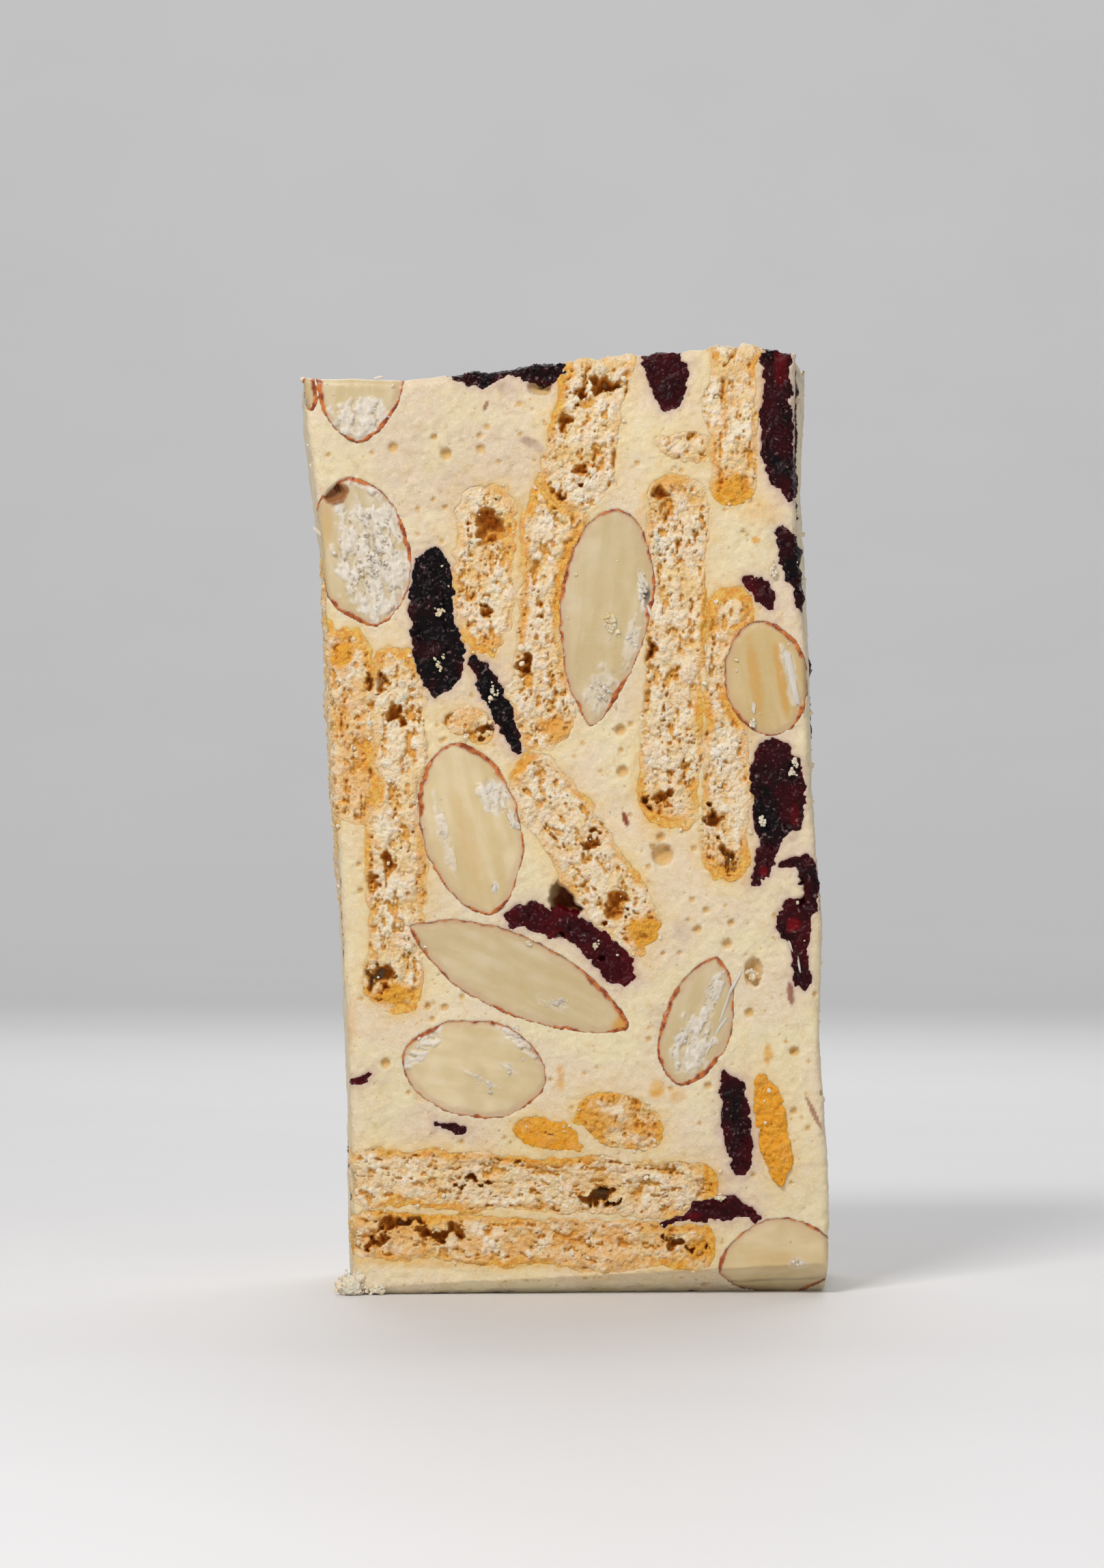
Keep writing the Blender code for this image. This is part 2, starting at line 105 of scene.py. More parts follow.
BISCUIT_RADIUS = 18.0
RIM_SHARE = 0.4
POINTED_POWER = 0.4
SPINE_STEPS = 4
RIBBON_ROUND = 2.4
RIBBON_END_WAVE = 2.2

FACE_NAMES = ("front", "back", "left", "right", "top", "bottom")

# Each face's turn about Z, and the place of its plane
FACES = {
    "front": (0.0, (0.0, -HALF_Y, 0.0)),
    "back": (180.0, (0.0, HALF_Y, 0.0)),
    "right": (90.0, (23.6, 0.0, 0.0)),
    "left": (-90.0, (-22.6, 0.0, 0.0)),
}

# By face, then by name: centre across, centre height, length, width, depth, lean of the top to the right,
# how pointed the top and the bottom are, how far inside the face the centre lies
ALMONDS = {
    "front": {
        "top_left": (-19.4, 87, 12.8, 8.4, 12, 4, (0.2, 0.3), 0),
        "left": (-19.4, 70.2, 14.4, 9.4, 13, -12, (0.2, 0.3), 0),
        "upper_middle": (3.6, 64, 20.6, 8.7, 11, 7.4, (0.1, 0.7), 0),
        "upper_right": (18.9, 58.3, 11, 8, 9, -10, (0.1, 0.1), 0),
        "middle_left": (-9, 44, 16.6, 9.5, 12, -13, (0.1, 0.3), 0),
        "long": (-4.5, 30.1, 22.9, 7.4, 12, -65, (0.7, 0.7), 0),
        "lower_left": (-8.7, 21.4, 13.8, 9.3, 10, -80, (0.2, 0.1), 0),
        "lower_right": (12.4, 25.9, 12.6, 6.6, 8, 17, (0.4, 0.1), 0),
        "bottom_right": (20.2, 2.7, 11.6, 9, 12, 88, (0.2, 0.3), 0),
    },
    "back": {
        "back_top": (10, 76, 21, 11, 8, 24, (0.2, 0.7), 0),
        "back_middle": (12, 47, 21, 8.6, 10, -15, (0.2, 0.7), 0),
        "back_left": (-13, 28, 19, 8, 11, 38, (0.3, 0.6), 0),
        "back_right": (15, 20.5, 13.5, 9, 10, 72, (0.2, 0.2), 0),
        "back_bottom": (6, 7.5, 16, 8.5, 10, -78, (0.3, 0.6), 0),
    },
    "right": {
        "right_side": (3, 27, 19, 8.5, 9, 12, (0.2, 0.6), 0),
    },
    "left": {
        "left_side": (6.9, 38, 21, 8, 5, 1, (0.2, 0.5), 1.5),
    },
}

# By face, then by name: centre across, centre height, chord, thickness, lean, 1 for a centre inside the face
# and -1 for one outside it, turn about the upright
BISCUITS = {
    "front": {
        "top_middle": (3.5, 91, 34, 6.6, 10.8, 1, 0),
        "upper_left": (-7.6, 68.5, 16.3, 6, 0.5, 1, 4),
        "upper_middle": (-1.6, 64.5, 25.2, 6.2, 3.5, 1, -3),
        "right_inner": (10.2, 61, 33.5, 5.6, 1.9, 1, 0),
        "top_right": (15.7, 91.3, 33, 4.8, 0, 1, 2),
        "right_outer": (15.3, 53, 27.5, 4.5, 1.3, 1, -2),
        "left_edge": (-20.9, 53.6, 19.2, 5.5, -1.4, 1, 0),
        "left_inner": (-16.1, 43.8, 34.5, 5.5, 0.5, 1, 0),
        "middle_slant": (2.1, 41.4, 21.5, 5.9, -35, 1, 0),
        "bottom_upper": (-3.4, 10.5, 35, 5.4, -87.4, 1, 0),
        "bottom_lower": (-3.3, 5, 35.2, 4.6, -88, 1, 0),
    },
    "back": {
        "back_low": (-3, 20.5, 27, 5.5, 80, -1, 0),
    },
}

# By face, then by name: depth, spine of (across, height, half width) points
CRANBERRIES = {
    "front": {
        "top_edge": (8, [
            (-10.9, 87.3, 0.5), (-8.2, 87, 1.2), (-5, 87.8, 1), (-2.2, 87.5, 1.4), (-1.2, 87.8, 1),
        ]),
        "top_middle": (5, [(8.6, 90.6, 1.6), (9.3, 87.3, 2.1), (9.8, 85.6, 1.6), (9.5, 84, 0.5)]),
        "top_right": (5, [
            (20, 91.5, 1.5), (20, 86.3, 1.3), (19.9, 82.4, 1.6), (20.3, 78.5, 1.5), (21.1, 75.6, 0.5),
        ]),
        "right_edge": (5, [(20.3, 72.2, 0.6), (21.4, 70.2, 1.3), (22.1, 67.7, 1), (22.5, 65.3, 0.6)]),
        "chip_right": (3, [(17.2, 67.4, 0.5), (18.4, 66.5, 1), (19.3, 65.2, 0.6)]),
        "left_large": (5.5, [
            (-12.2, 70.4, 0.4), (-12.7, 68.4, 1.8), (-12.7, 65.6, 2.1), (-12.5, 62.7, 2.3),
            (-11.9, 59.8, 2.3), (-12.2, 57.3, 0.6),
        ]),
        "left_tail": (4, [
            (-8.8, 59.7, 0.6), (-8.1, 59.4, 0.8), (-7.2, 57.5, 1), (-6.2, 55.3, 0.9), (-5.3, 53.4, 0.8),
            (-4.5, 51.6, 0.4),
        ]),
        "middle": (4.5, [
            (-5, 35.5, 0.8), (-3.5, 35.7, 1.3), (-0.9, 35.1, 1.3), (1.3, 34.3, 1.2), (3.2, 32.9, 1.4),
            (4.9, 31.1, 1.6), (5.3, 29.9, 0.6),
        ]),
        "right_large": (5, [
            (18.5, 51.5, 0.8), (19.5, 50.4, 2), (20.1, 48.2, 2.6), (20, 45.9, 2.4), (19.6, 44, 1.5),
            (19, 41.7, 1), (18, 39.2, 0.6),
        ]),
        "right_hook": (4, [
            (20.8, 40.9, 0.5), (22.3, 41, 0.8), (23, 39.5, 0.8), (22.9, 37.2, 0.9), (21.6, 35.6, 1.7),
            (22, 33.7, 1.2), (22, 31.7, 0.7), (22.4, 30, 0.8), (22.6, 28.9, 0.4),
        ]),
        "lower_right": (5, [
            (15, 20.9, 0.4), (15.6, 19.2, 1.2), (16, 16.6, 1.3), (16.4, 14, 1.4), (16.5, 12.3, 0.9),
        ]),
        "bottom": (4, [
            (9.3, 6.7, 0.3), (11.3, 7.4, 0.5), (13.8, 8.3, 1.1), (16.2, 8.3, 1), (18.2, 7.2, 0.3),
        ]),
        "shred_left": (2.5, [(-21.5, 19.8, 0.5), (-19.3, 20.5, 0.5), (-18.1, 21.1, 0.3)]),
        "shred_low": (2, [(-12.3, 16.2, 0.4), (-11.2, 15.9, 0.5), (-9.7, 15.5, 0.3)]),
    },
    "back": {
        "back_top": (5, [(-15, 83, 0.6), (-14, 80, 1.9), (-15.5, 76.5, 2.2), (-14.5, 73, 0.8)]),
        "back_middle": (4.5, [(-8, 69, 0.7), (-8.6, 65.5, 1.7), (-9.8, 61.5, 1.8), (-8.8, 58.5, 0.7)]),
        "back_left": (4.5, [(17, 34.5, 0.7), (14, 33.5, 1.5), (10.5, 31, 1.7), (7.5, 31.5, 0.8)]),
        "back_right": (4.5, [(-17.5, 13, 0.7), (-14.5, 11.5, 1.7), (-11, 12, 1.6), (-8.6, 10.4, 0.6)]),
    },
    "right": {
        "side_top": (5, [(-8.5, 88, 1.6), (-7, 83, 2.4), (-6.5, 78.5, 2.6), (-7.5, 74.5, 1.2)]),
        "side_middle": (4, [(3, 61, 0.7), (5, 57.5, 1.9), (4, 53, 2), (5.5, 50, 0.7)]),
    },
    "left": {
        "left_side": (4, [(-4.5, 15.5, 0.7), (-2, 12, 1.9), (2, 10.5, 1.7), (5, 8, 0.7)]),
    },
}
BROKEN_BISCUITS = {
    "front": {
        "bit_upper": (6, [(8.6, 80.9, 0.3), (10, 80.2, 1.1), (11.7, 80.1, 1.5), (12.6, 80.1, 1.2)]),
        "bit_left": (6, [(-11, 54.3, 0.6), (-9.4, 54.2, 1.4), (-8.2, 53.4, 1.4)]),
        "bit_low": (6, [(-4.2, 15.6, 0.8), (-2.9, 15.3, 1.4), (-0.8, 15, 1.3), (1.2, 14, 0.4)]),
        "arch_low": (8, [(1.3, 16.8, 0.6), (2.8, 17.3, 1.7), (5, 16.5, 2.5), (7, 15.8, 2), (8, 15.4, 1)]),
        "crust_right": (5, [
            (18.5, 20.4, 0.5), (19, 18.5, 1.2), (19.5, 15.6, 1.5), (20, 12.7, 1.3), (20.2, 10.9, 0.5),
        ]),
    },
}
ALMOND_CHIPS = {
    "front": {
        "chip": (5, [(-24.4, 86.4, 0.5), (-24.3, 85.2, 0.8), (-24.2, 84, 0.4)]),
    },
}

# How toasted each biscuit is, where it isn't the usual. Over 1, its browned rim reaches further in.
USUAL_BAKE = 0.25
BAKES = {
    "bottom_lower": 0.7, "top_right": 0.3, "crust_right": 2, "bit_low": 1.5, "arch_low": 0.95,
    "left_edge": 0.6, "bottom_upper": 0.35, "bit_left": 0.7,
}

# How wide the browned rim is at the ends of the biscuits' discs, in millimetres
USUAL_END_RIM = 0.6
END_RIMS = {
    "top_middle": 0, "upper_middle": 0.15, "upper_left": 0.25, "left_edge": 0.5, "middle_slant": 0.5,
    "bottom_upper": 0.7, "left_inner": 0.5,
}

# How light and how yellow each almond is, from 0 to 1, where it isn't the usual
USUAL_ALMOND_TONE = (0.4, 0.0)
ALMOND_TONES = {
    "middle_left": (0.9, 0.1), "lower_left": (1, 0), "bottom_right": (0.9, 0.15),
    "upper_right": (0.35, 0.4), "upper_middle": (0.4, 0), "left": (0.3, 0),
}

# How red each cranberry is, where it isn't the usual near black
USUAL_RED = 0.1
REDS = {
    "top_middle": 0.45, "top_right": 0.3, "right_large": 0.25, "right_hook": 0.35, "middle": 0.6,
    "lower_right": 0.3, "chip_right": 0.6, "bottom": 0.45, "shred_left": 0.8, "shred_low": 0.4,
    "side_top": 0.4, "side_middle": 0.3, "left_large": 0,
}

# Hollows inside the biscuits at the front: across, height, half width, half height, depth
CAVES = [
    (-7.2, 73, 1.1, 1.7, 1.6), (-7.9, 64.8, 0.6, 0.8, 1.2), (3.9, 86.1, 1.6, 0.9, 2),
    (1.4, 85, 0.7, 0.9, 1.2), (-0.3, 82.2, 0.8, 1, 1.2), (-0.9, 75.3, 0.7, 0.9, 0.9),
    (-3.9, 60.1, 0.7, 0.8, 1.1), (-4.2, 58.9, 0.6, 0.7, 1.1), (1.3, 77.9, 0.7, 0.9, 1),
    (8.7, 76, 0.6, 1, 1.2), (7.8, 60.8, 0.5, 0.8, 1), (7.5, 45.9, 0.6, 0.8, 1.3),
    (9.1, 46.9, 0.9, 0.7, 1.2), (13.9, 45, 0.8, 1.3, 1.5), (15.5, 40.8, 0.8, 1.2, 1.4),
    (-16.5, 54.6, 1, 0.8, 1.5), (-17.7, 57.9, 0.8, 0.9, 1.2), (-17.1, 30.1, 0.9, 1, 1.5),
    (-18.4, 29.5, 0.6, 0.8, 1.1), (-16.4, 41.1, 0.7, 1.2, 1), (-18.4, 38.8, 0.5, 0.9, 0.9),
    (4.6, 36.9, 1.2, 1.5, 1.4), (2.6, 43, 0.9, 1, 1.2), (-7.3, 53.2, 0.9, 0.6, 1.3),
    (2.9, 9.2, 1.9, 0.6, 2.2), (-9, 10.8, 1.2, 0.4, 1.3), (-5.8, 12.7, 1, 0.4, 1.2),
    (4.6, 8.4, 0.9, 0.5, 1.8), (-15.6, 6.8, 2.4, 0.6, 1.8), (-11.8, 5.9, 2, 0.5, 1.6),
    (-18, 5.2, 0.9, 0.9, 1.5), (10.4, 5, 1.3, 0.7, 1.8), (12.1, 4.3, 0.8, 0.8, 1.4),
]

# The larger bubbles in the nougat at the front: across, height, radius
BUBBLES = [
    (-16.4, 80.1, 0.5), (-11.4, 79.5, 0.6), (-8.2, 81.2, 0.4), (-8.1, 80, 0.5), (-12.5, 81.1, 0.4),
    (-4, 84.3, 0.3), (-3.2, 83.7, 0.35), (-7.1, 85, 0.28), (-3, 78.9, 0.3), (-11.5, 74.5, 0.33),
    (-14, 71.9, 0.3), (5.1, 53.4, 0.6), (5.3, 49.5, 0.65), (8.9, 43.3, 0.45), (9.1, 41.6, 1.05),
    (11.9, 37.4, 0.35), (13.2, 36.4, 0.4), (12.4, 34.6, 0.45), (15.2, 33.2, 0.5), (15.6, 35.2, 0.4),
    (17.3, 26.7, 0.45), (21.5, 17.4, 0.45), (-13.1, 27.2, 0.33), (-11.5, 27.2, 0.38), (-17.1, 21.9, 0.5),
    (13.4, 19.8, 0.45), (21.6, 23, 0.5), (-1.9, 85.2, 0.3),
]

# Wide hollows in the nougat at the front: across, height, half width, half height, depth
HOLLOWS = [
    (-2.5, 85.9, 1.1, 0.9, 1), (17.7, 30.5, 0.9, 1.4, 0.9), (0.2, 37.6, 2, 1.8, 3.4),
]

# Stains and seeds at the front, on each kind of piece, and a few spots of painted shade and painted
# highlight:
# across, height, half width, half height, lean, strength, and the colour where it isn't orange
SPOTS = {
    "nougat": [
        (5.6, 45, 0.25, 0.75, -20, 1, "seed"), (21.2, 28.5, 0.3, 1.1, -8, 0.8, "seed"),
        (23.4, 17.2, 0.25, 1.6, -25, 0.7, "seed"), (-7.6, 84, 0.2, 0.5, 20, 0.7, "seed"),
        # The seed-brown oval at height 37.4 darkens the deep hollow there: painted shadow, not a seed.
        (0.6, 37.4, 1.6, 1.2, 0, 0.95, "seed"), (8.6, 19.5, 1, 1.1, 0, 0.9), (10.5, 18.9, 1, 0.9, 0, 0.6),
        (19.1, 22.8, 0.5, 1.1, 0, 1), (-0.5, 20.6, 0.5, 1.4, 0, 0.8), (18.4, 74, 2.2, 1.6, 0, 0.4),
        (12.6, 74, 0.9, 3, 0, 0.5), (11, 68, 1, 3.5, 0, 0.35), (14, 63.5, 0.6, 4, 0, 0.5),
        (17.9, 71.4, 0.5, 0.4, 0, 0.9), (6.6, 72.6, 0.8, 4.2, 20, 0.45), (-1.2, 77, 0.9, 2.8, 15, 0.4),
        (12.6, 55, 0.6, 6, 0, 0.45), (18.6, 85.4, 0.5, 3, 10, 0.6), (-4.2, 49.6, 1.6, 1.2, 0, 0.35),
        (8, 44, 1.6, 1.8, 0, 0.25), (-20.6, 25.5, 0.9, 2.6, 0, 0.35), (16.6, 77.2, 1.4, 1.3, 0, 0.3),
        (-13.6, 19.4, 1.2, 1.6, 0, 0.3), (-3.2, 80.4, 1.4, 0.6, 30, 0.7, "purple"),
        # The wide faint purple oval over the upper left darkens that corner: painted shade with a pinkish
        # tinge.
        (-10, 77.2, 3.6, 1.2, 35, 0.25, "purple"), (-12, 79.5, 13, 9, 0, 0.16, "purple"),
        (-5.8, 85.6, 1.1, 0.8, 0, 0.5, "purple"), (11, 34.4, 1.3, 1.2, 0, 0.3, "purple"),
        (9, 26.5, 1.6, 1.6, 0, 0.25, "purple"), (21.4, 43.4, 0.8, 0.7, 0, 0.4, "purple"),
        # The long low orange oval at height 3.4 darkens and tans the strip along the bottom: painted shade.
        (-4.3, 70.6, 0.7, 6, 0, 0.45), (-8, 3.4, 17, 1.1, 0, 0.5), (2, 10.4, 11, 0.8, 0, 0.5),
    ],
    "almond": [
        (7.4, 60.6, 0.45, 3.4, 12, 1, "purple"), (7.6, 66, 0.4, 1, 0, 0.8, "purple"),
        # The seed-brown oval at (-22.1, 75.8) darkens the hollow in the almond there: painted shade.
        (5.6, 25.6, 1.3, 1.3, -60, 1), (-22.1, 75.8, 1.3, 1, 0, 0.9, "seed"),
        (17.8, 58.6, 0.7, 4.4, -8, 0.6), (20.3, 58.2, 0.5, 4.2, -10, 0.7), (-9.4, 43, 1, 5, -14, 0.2),
        # The faint orange oval at (19.8, 3.4) darkens the low part of the bottom almond: painted shade.
        (19.8, 3.4, 2.8, 1, 0, 0.25), (-22.6, 72.6, 0.6, 3, 0, 0.3),
    ],
    "cranberry": [
        (21.4, 35, 0.9, 0.8, 20, 1), (20.3, 87.6, 0.8, 2.2, 0, 0.5), (21.6, 45.2, 0.5, 1.4, 0, 0.45),
        # The red oval round the curl hole at (-0.6, 33.9) is a painted highlight.
        (18.6, 40, 0.4, 0.6, 0, 0.8), (-0.6, 33.9, 1, 0.9, 0, 0.35), (12.2, 7.4, 0.8, 0.4, 0, 0.4),
    ],
    "biscuit": [
        (15.7, 75.2, 2.8, 3.6, 0, 1), (15, 84, 0.5, 4, 0, 0.6), (-21.4, 60.4, 1.6, 2.6, 0, 1),
        (-19.2, 48, 0.6, 13, 0, 0.7), (-0.8, 53.6, 2, 1.8, 0, 0.9), (9.8, 76.8, 2.2, 1.4, 0, 0.7),
        (7.6, 34.4, 2.4, 2.4, -35, 1), (-16.4, 28.4, 3.2, 1.5, 0, 1), (13.6, 11, 0.8, 2.2, 0, 0.9),
        (-6, 12.9, 13, 0.4, 2, 0.6), (-3, 7.4, 15, 0.5, 2, 0.8), (-10, 3, 9, 0.45, 2, 0.7),
        (-16, 6, 4.2, 1.6, 0, 0.7), (12.6, 4.4, 1.8, 1.7, 0, 1), (1.5, 89, 4.5, 0.9, 0, 0.6),
        (-1.4, 84, 0.8, 4, 8, 0.8), (5.8, 83, 0.6, 3.6, 10, 0.5), (-6.4, 61.6, 2.4, 1.5, 0, 0.7),
        (-3.9, 66, 0.5, 7, 3, 0.7), (7.6, 66, 0.5, 9, 2, 0.6), (12.9, 60, 0.5, 12, 2, 0.7),
        (8.6, 46, 2.4, 1.6, 0, 0.6), (15, 41, 2, 1.8, 0, 0.6), (-13.8, 40, 0.5, 9, 0, 0.5),
        (-4.5, 49.5, 1.2, 2, -30, 0.5),
    ],
}
SPOT_COLOURS = ("orange", "purple", "seed")

# Hollows in the almonds and cranberries at the front: across, height, half width, half height, depth
PITS = {
    "almond": [(-22.1, 75.9, 1.2, 0.9, 1.0)],
    "cranberry": [(-0.6, 33.9, 0.45, 0.4, 1.2), (22.3, 38.0, 0.3, 1.4, 0.8), (3.4, 31.8, 0.3, 0.3, 0.6)],
}

# Thin flakes that stand out at the front: across, height, length, width, lean
SHARDS = [
    (15.8, 29.3, 3.6, 0.5, 28), (15, 27.2, 3.2, 0.45, 20), (14.6, 25.4, 2.2, 0.5, 35),
    (13.6, 23.6, 2, 0.4, 25), (21.3, 58.6, 6.6, 1.2, -12), (17.7, 55.5, 1, 0.7, 0),
    (-5, 44.8, 1.8, 0.9, -40), (-23.5, 72.2, 1.4, 0.5, -50), (-17.8, 86.75, 0.9, 0.4, 80),
    (-6.8, 38.4, 1, 0.8, 20), (7.2, 67.2, 1.8, 0.5, -25), (7.9, 64.6, 1.6, 0.5, -20),
    (10.6, 24.2, 1.4, 1.2, 40), (-7.4, 47.8, 1.6, 1.2, 30), (22, 31.2, 1.6, 0.4, -10),
    (21.2, 33, 1.2, 0.3, -20),
]

# Flaky pale places on the cut almonds: across, height, half width, half height, lean, amount
FLAKES = [
    (-19.3, 83, 3, 1.9, 0, 1), (-18.3, 69.8, 3.5, 6.3, -12, 1), (-7, 47.1, 1.5, 1.5, 20, 0.9),
    (-11.6, 43.8, 0.5, 4.6, -14, 0.7), (-5.1, 45.2, 0.6, 1.1, 0, 0.8), (-6.7, 38.6, 0.5, 0.5, 0, 0.8),
    (-13.6, 23.4, 0.8, 3.2, 38, 1), (-4.5, 24.1, 0.7, 3, -52, 0.9), (-8.4, 20.6, 0.14, 1.9, -62, 0.8),
    (-7.2, 19.9, 0.12, 1.5, -70, 0.7), (-5.4, 21.4, 0.16, 1.3, -60, 0.7), (12, 23.9, 1.8, 2.6, 20, 1),
    (13.8, 28.2, 0.7, 2.4, 22, 0.9), (7.3, 66.4, 0.5, 2.4, -8, 0.9), (3.4, 57, 1.7, 2.3, 0, 0.55),
    (6.2, 61.8, 0.7, 2.6, 15, 0.5), (21, 58.6, 0.7, 3.2, -10, 0.6), (-1, 27.6, 1.6, 0.7, 20, 0.35),
    (22, 3, 1, 0.5, 0, 0.4),
]

# Crumbs stuck on other pieces at the front: across, height, spread across, spread in height, count, sizes
CRUMB_HEAPS = [
    (4.2, 63.5, 0.7, 1.3, 26, (0.12, 0.32)), (-12, 64.5, 0.6, 0.5, 9, (0.1, 0.2)),
    (-11.9, 60, 0.8, 1.2, 10, (0.1, 0.22)), (-6.9, 57, 0.6, 1.2, 9, (0.1, 0.2)),
    (21.3, 49.5, 0.5, 0.6, 9, (0.1, 0.24)), (21.6, 50.3, 0.4, 0.5, 7, (0.1, 0.2)),
    (18.5, 44.8, 0.4, 0.8, 8, (0.1, 0.22)), (2.8, 32.9, 0.4, 0.4, 6, (0.1, 0.2)),
    (-3.6, 33.2, 0.3, 0.3, 5, (0.1, 0.2)), (8.6, 71.4, 0.4, 1.4, 14, (0.1, 0.24)),
    (17.6, 30.3, 0.6, 0.7, 8, (0.14, 0.3)), (19.6, 68.5, 0.5, 1, 12, (0.1, 0.24)),
    (17.6, 54, 0.5, 0.5, 8, (0.1, 0.22)), (14.4, 9.2, 0.9, 0.5, 9, (0.1, 0.22)),
    (-20.4, 0.9, 0.9, 0.8, 16, (0.4, 0.75)), (-20.2, 1.2, 1.6, 1.6, 50, (0.12, 0.3)),
    (-18.2, 0.5, 2, 0.5, 20, (0.12, 0.3)),
]

# The floor with its sweep, the lights as (place, target, size, power, colour) and the camera, in metres
FLOOR_DARKER = (0.72, 0.715, 0.72, 1.0)
FLOOR_LIGHTER = (0.76, 0.755, 0.76, 1.0)
FLOOR_WIDE, FLOOR_FRONT, FLOOR_BACK, FLOOR_HIGH, FLOOR_BEND, BEND_STEPS = 3.0, -2.0, 1.7, 2.0, 0.9, 12
MIDDLE = (0.0, 0.0, 0.045)
LIGHTS = {
    "key": ((-0.16, -0.34, 0.40), MIDDLE, (0.14, 0.12), 1.75, (1.0, 0.98, 0.96)),
    "fill": ((0.36, -0.46, 0.14), MIDDLE, (0.36, 0.36), 0.45, (0.98, 0.98, 1.0)),
    "back": ((0.05, 0.42, 0.34), MIDDLE, (0.5, 0.3), 0.8, (1.0, 1.0, 1.0)),
    "wall": ((0.0, 0.75, 1.2), (0.0, 1.5, 0.1), (1.2, 0.6), 7.0, (1.0, 1.0, 1.0)),
}
WORLD_COLOUR = (0.90, 0.90, 0.92, 1.0)
WORLD_STRENGTH = 0.26
LENS = 122.7
SENSOR_HEIGHT = 36.0
CAMERA_PLACE = (-0.00135 + CENTRING[0] * MM, -0.517, 0.0483)


def smooth(value):
    """Runs softly from 0 to 1 as the value does."""
    value = np.clip(value, 0.0, 1.0)
    return value * value * (3 - 2 * value)


def lattice(cell, seed):
    """A repeatable number from 0 to 1 for each whole-numbered cell."""
    mask = 0xFFFFFFFF
    mixed = cell[..., 0] * 0x8DA6B343 + cell[..., 1] * 0xD8163841 + cell[..., 2] * 0xCB1AB31F
    mixed = (mixed + seed * 0x165667B1) & mask
    mixed = ((mixed ^ (mixed >> 15)) * 0x2C1B3C6D) & mask
    mixed = ((mixed ^ (mixed >> 12)) * 0x297A2D39) & mask
    return ((mixed ^ (mixed >> 15)) & mask) / mask


def noise(points, seed):
    """Smooth noise from -1 to 1, one bump to the unit."""
    cell = np.floor(points).astype(np.int64)
    share = points - cell
    share = share**3 * (share * (share * 6 - 15) + 10)
    total = 0.0
    for corner in np.ndindex(2, 2, 2):
        weight = np.prod(np.where(np.array(corner), share, 1 - share), axis=-1)
        total = total + weight * lattice(cell + np.array(corner), seed)
    return 2 * total - 1


def rough(points, size, seed, octaves=3):
    """Noise in several sizes, the largest as given in millimetres."""
    total, amount, norm = 0.0, 1.0, 0.0
    for octave in range(octaves):
        total = total + amount * noise(points / size * 2**octave, seed + octave)
        norm += amount
        amount *= 0.5
    return total / norm


def lumps(points, size, seed):
    """How far each point is from the nearest scattered centre, in sizes, and that centre's lot, 0 to 1."""
    scaled = points / size
    cell = np.floor(scaled).astype(np.int64)
    nearest = np.full(points.shape[:-1], FAR)
    lot = np.zeros(points.shape[:-1])
    for offset in np.ndindex(3, 3, 3):
        other = cell + np.array(offset) - 1
        centre = other + np.stack([lattice(other, seed + axis) for axis in range(3)], axis=-1)
        away = ((scaled - centre) ** 2).sum(axis=-1)
        closer = away < nearest
        nearest = np.where(closer, away, nearest)
        lot = np.where(closer, lattice(other, seed + 3), lot)
    return np.sqrt(nearest), lot


def grains(points, size, seed):
    """How far each point is from the nearest scattered centre, in sizes."""
    return lumps(points, size, seed)[0]


def shake(points, size, seed):
    """Smooth noise of its own in each of the three directions."""
    return np.stack([noise(points / size, seed + axis) for axis in range(3)], axis=-1)


def line(points, at):
    """The value at a place, between the points of a broken line."""
    places, values = zip(*points)
    return np.interp(at, places, values)


def deform(x, y, z):
    """Carries a point of a plain box to its place in the bar."""
    u = x / HALF_X
    v = (y + HALF_Y) / (2 * HALF_Y)
    height = line(TOP_EDGE, 25 * u) * z / TALL
    left = line(LEFT_EDGE, height) - LEFT_FLARE * v
    right = line(RIGHT_EDGE, height) + line(RIGHT_FLARE, height) * v
    across = left + (right - left) * (u + 1) / 2
    wave = FACE_WAVE * np.sin(0.21 * height + 1.3 * u) * np.sin(0.6 + 0.09 * height)
    placed = np.stack([across, y + wave * (1 - v), height], axis=-1)
    left_point, right_point, behind = (np.array(point) for point in UNDERCUT)
    outward = np.cross(behind - right_point, left_point - right_point)
    outward /= np.linalg.norm(outward)
    if outward[2] > 0:
        outward = -outward
    past = np.maximum((placed - right_point) @ outward, 0.0)
    return placed - past[..., None] * outward


def wrap(along, half):
    """Carries a distance along a face on round its edge: the place, the drop, and the sink at the seam."""
    past = np.abs(along) - (half - EDGE_ROUND)
    turn = np.clip(past / EDGE_ROUND, 0, math.pi / 2)
    place = np.sign(along) * (np.minimum(np.abs(along), half - EDGE_ROUND) + EDGE_ROUND * np.sin(turn))
    beyond = np.maximum(past - EDGE_ROUND * math.pi / 2, 0)
    drop = EDGE_ROUND * (1 - np.cos(turn)) + beyond
    return place, drop, SEAM_SINK * smooth((beyond - EDGE_WRAP + SEAM) / SEAM)


def reach(half):
    """How far a wrapped face runs from its middle, along its surface."""
    return half - EDGE_ROUND + EDGE_ROUND * math.pi / 2 + EDGE_WRAP


def face_spans(face):
    """The range of each of a face's two coordinates."""
    depth = (-HALF_Y + SIDE_INSET, HALF_Y - SIDE_INSET)
    across = (-reach(HALF_X), reach(HALF_X))
    if face in ("front", "back"):
        upright = reach(TALL / 2)
        return across, (TALL / 2 - upright, TALL / 2 + upright)
    if face in ("top", "bottom"):
        return across, depth
    return depth, (SIDE_INSET, TALL - SIDE_INSET)


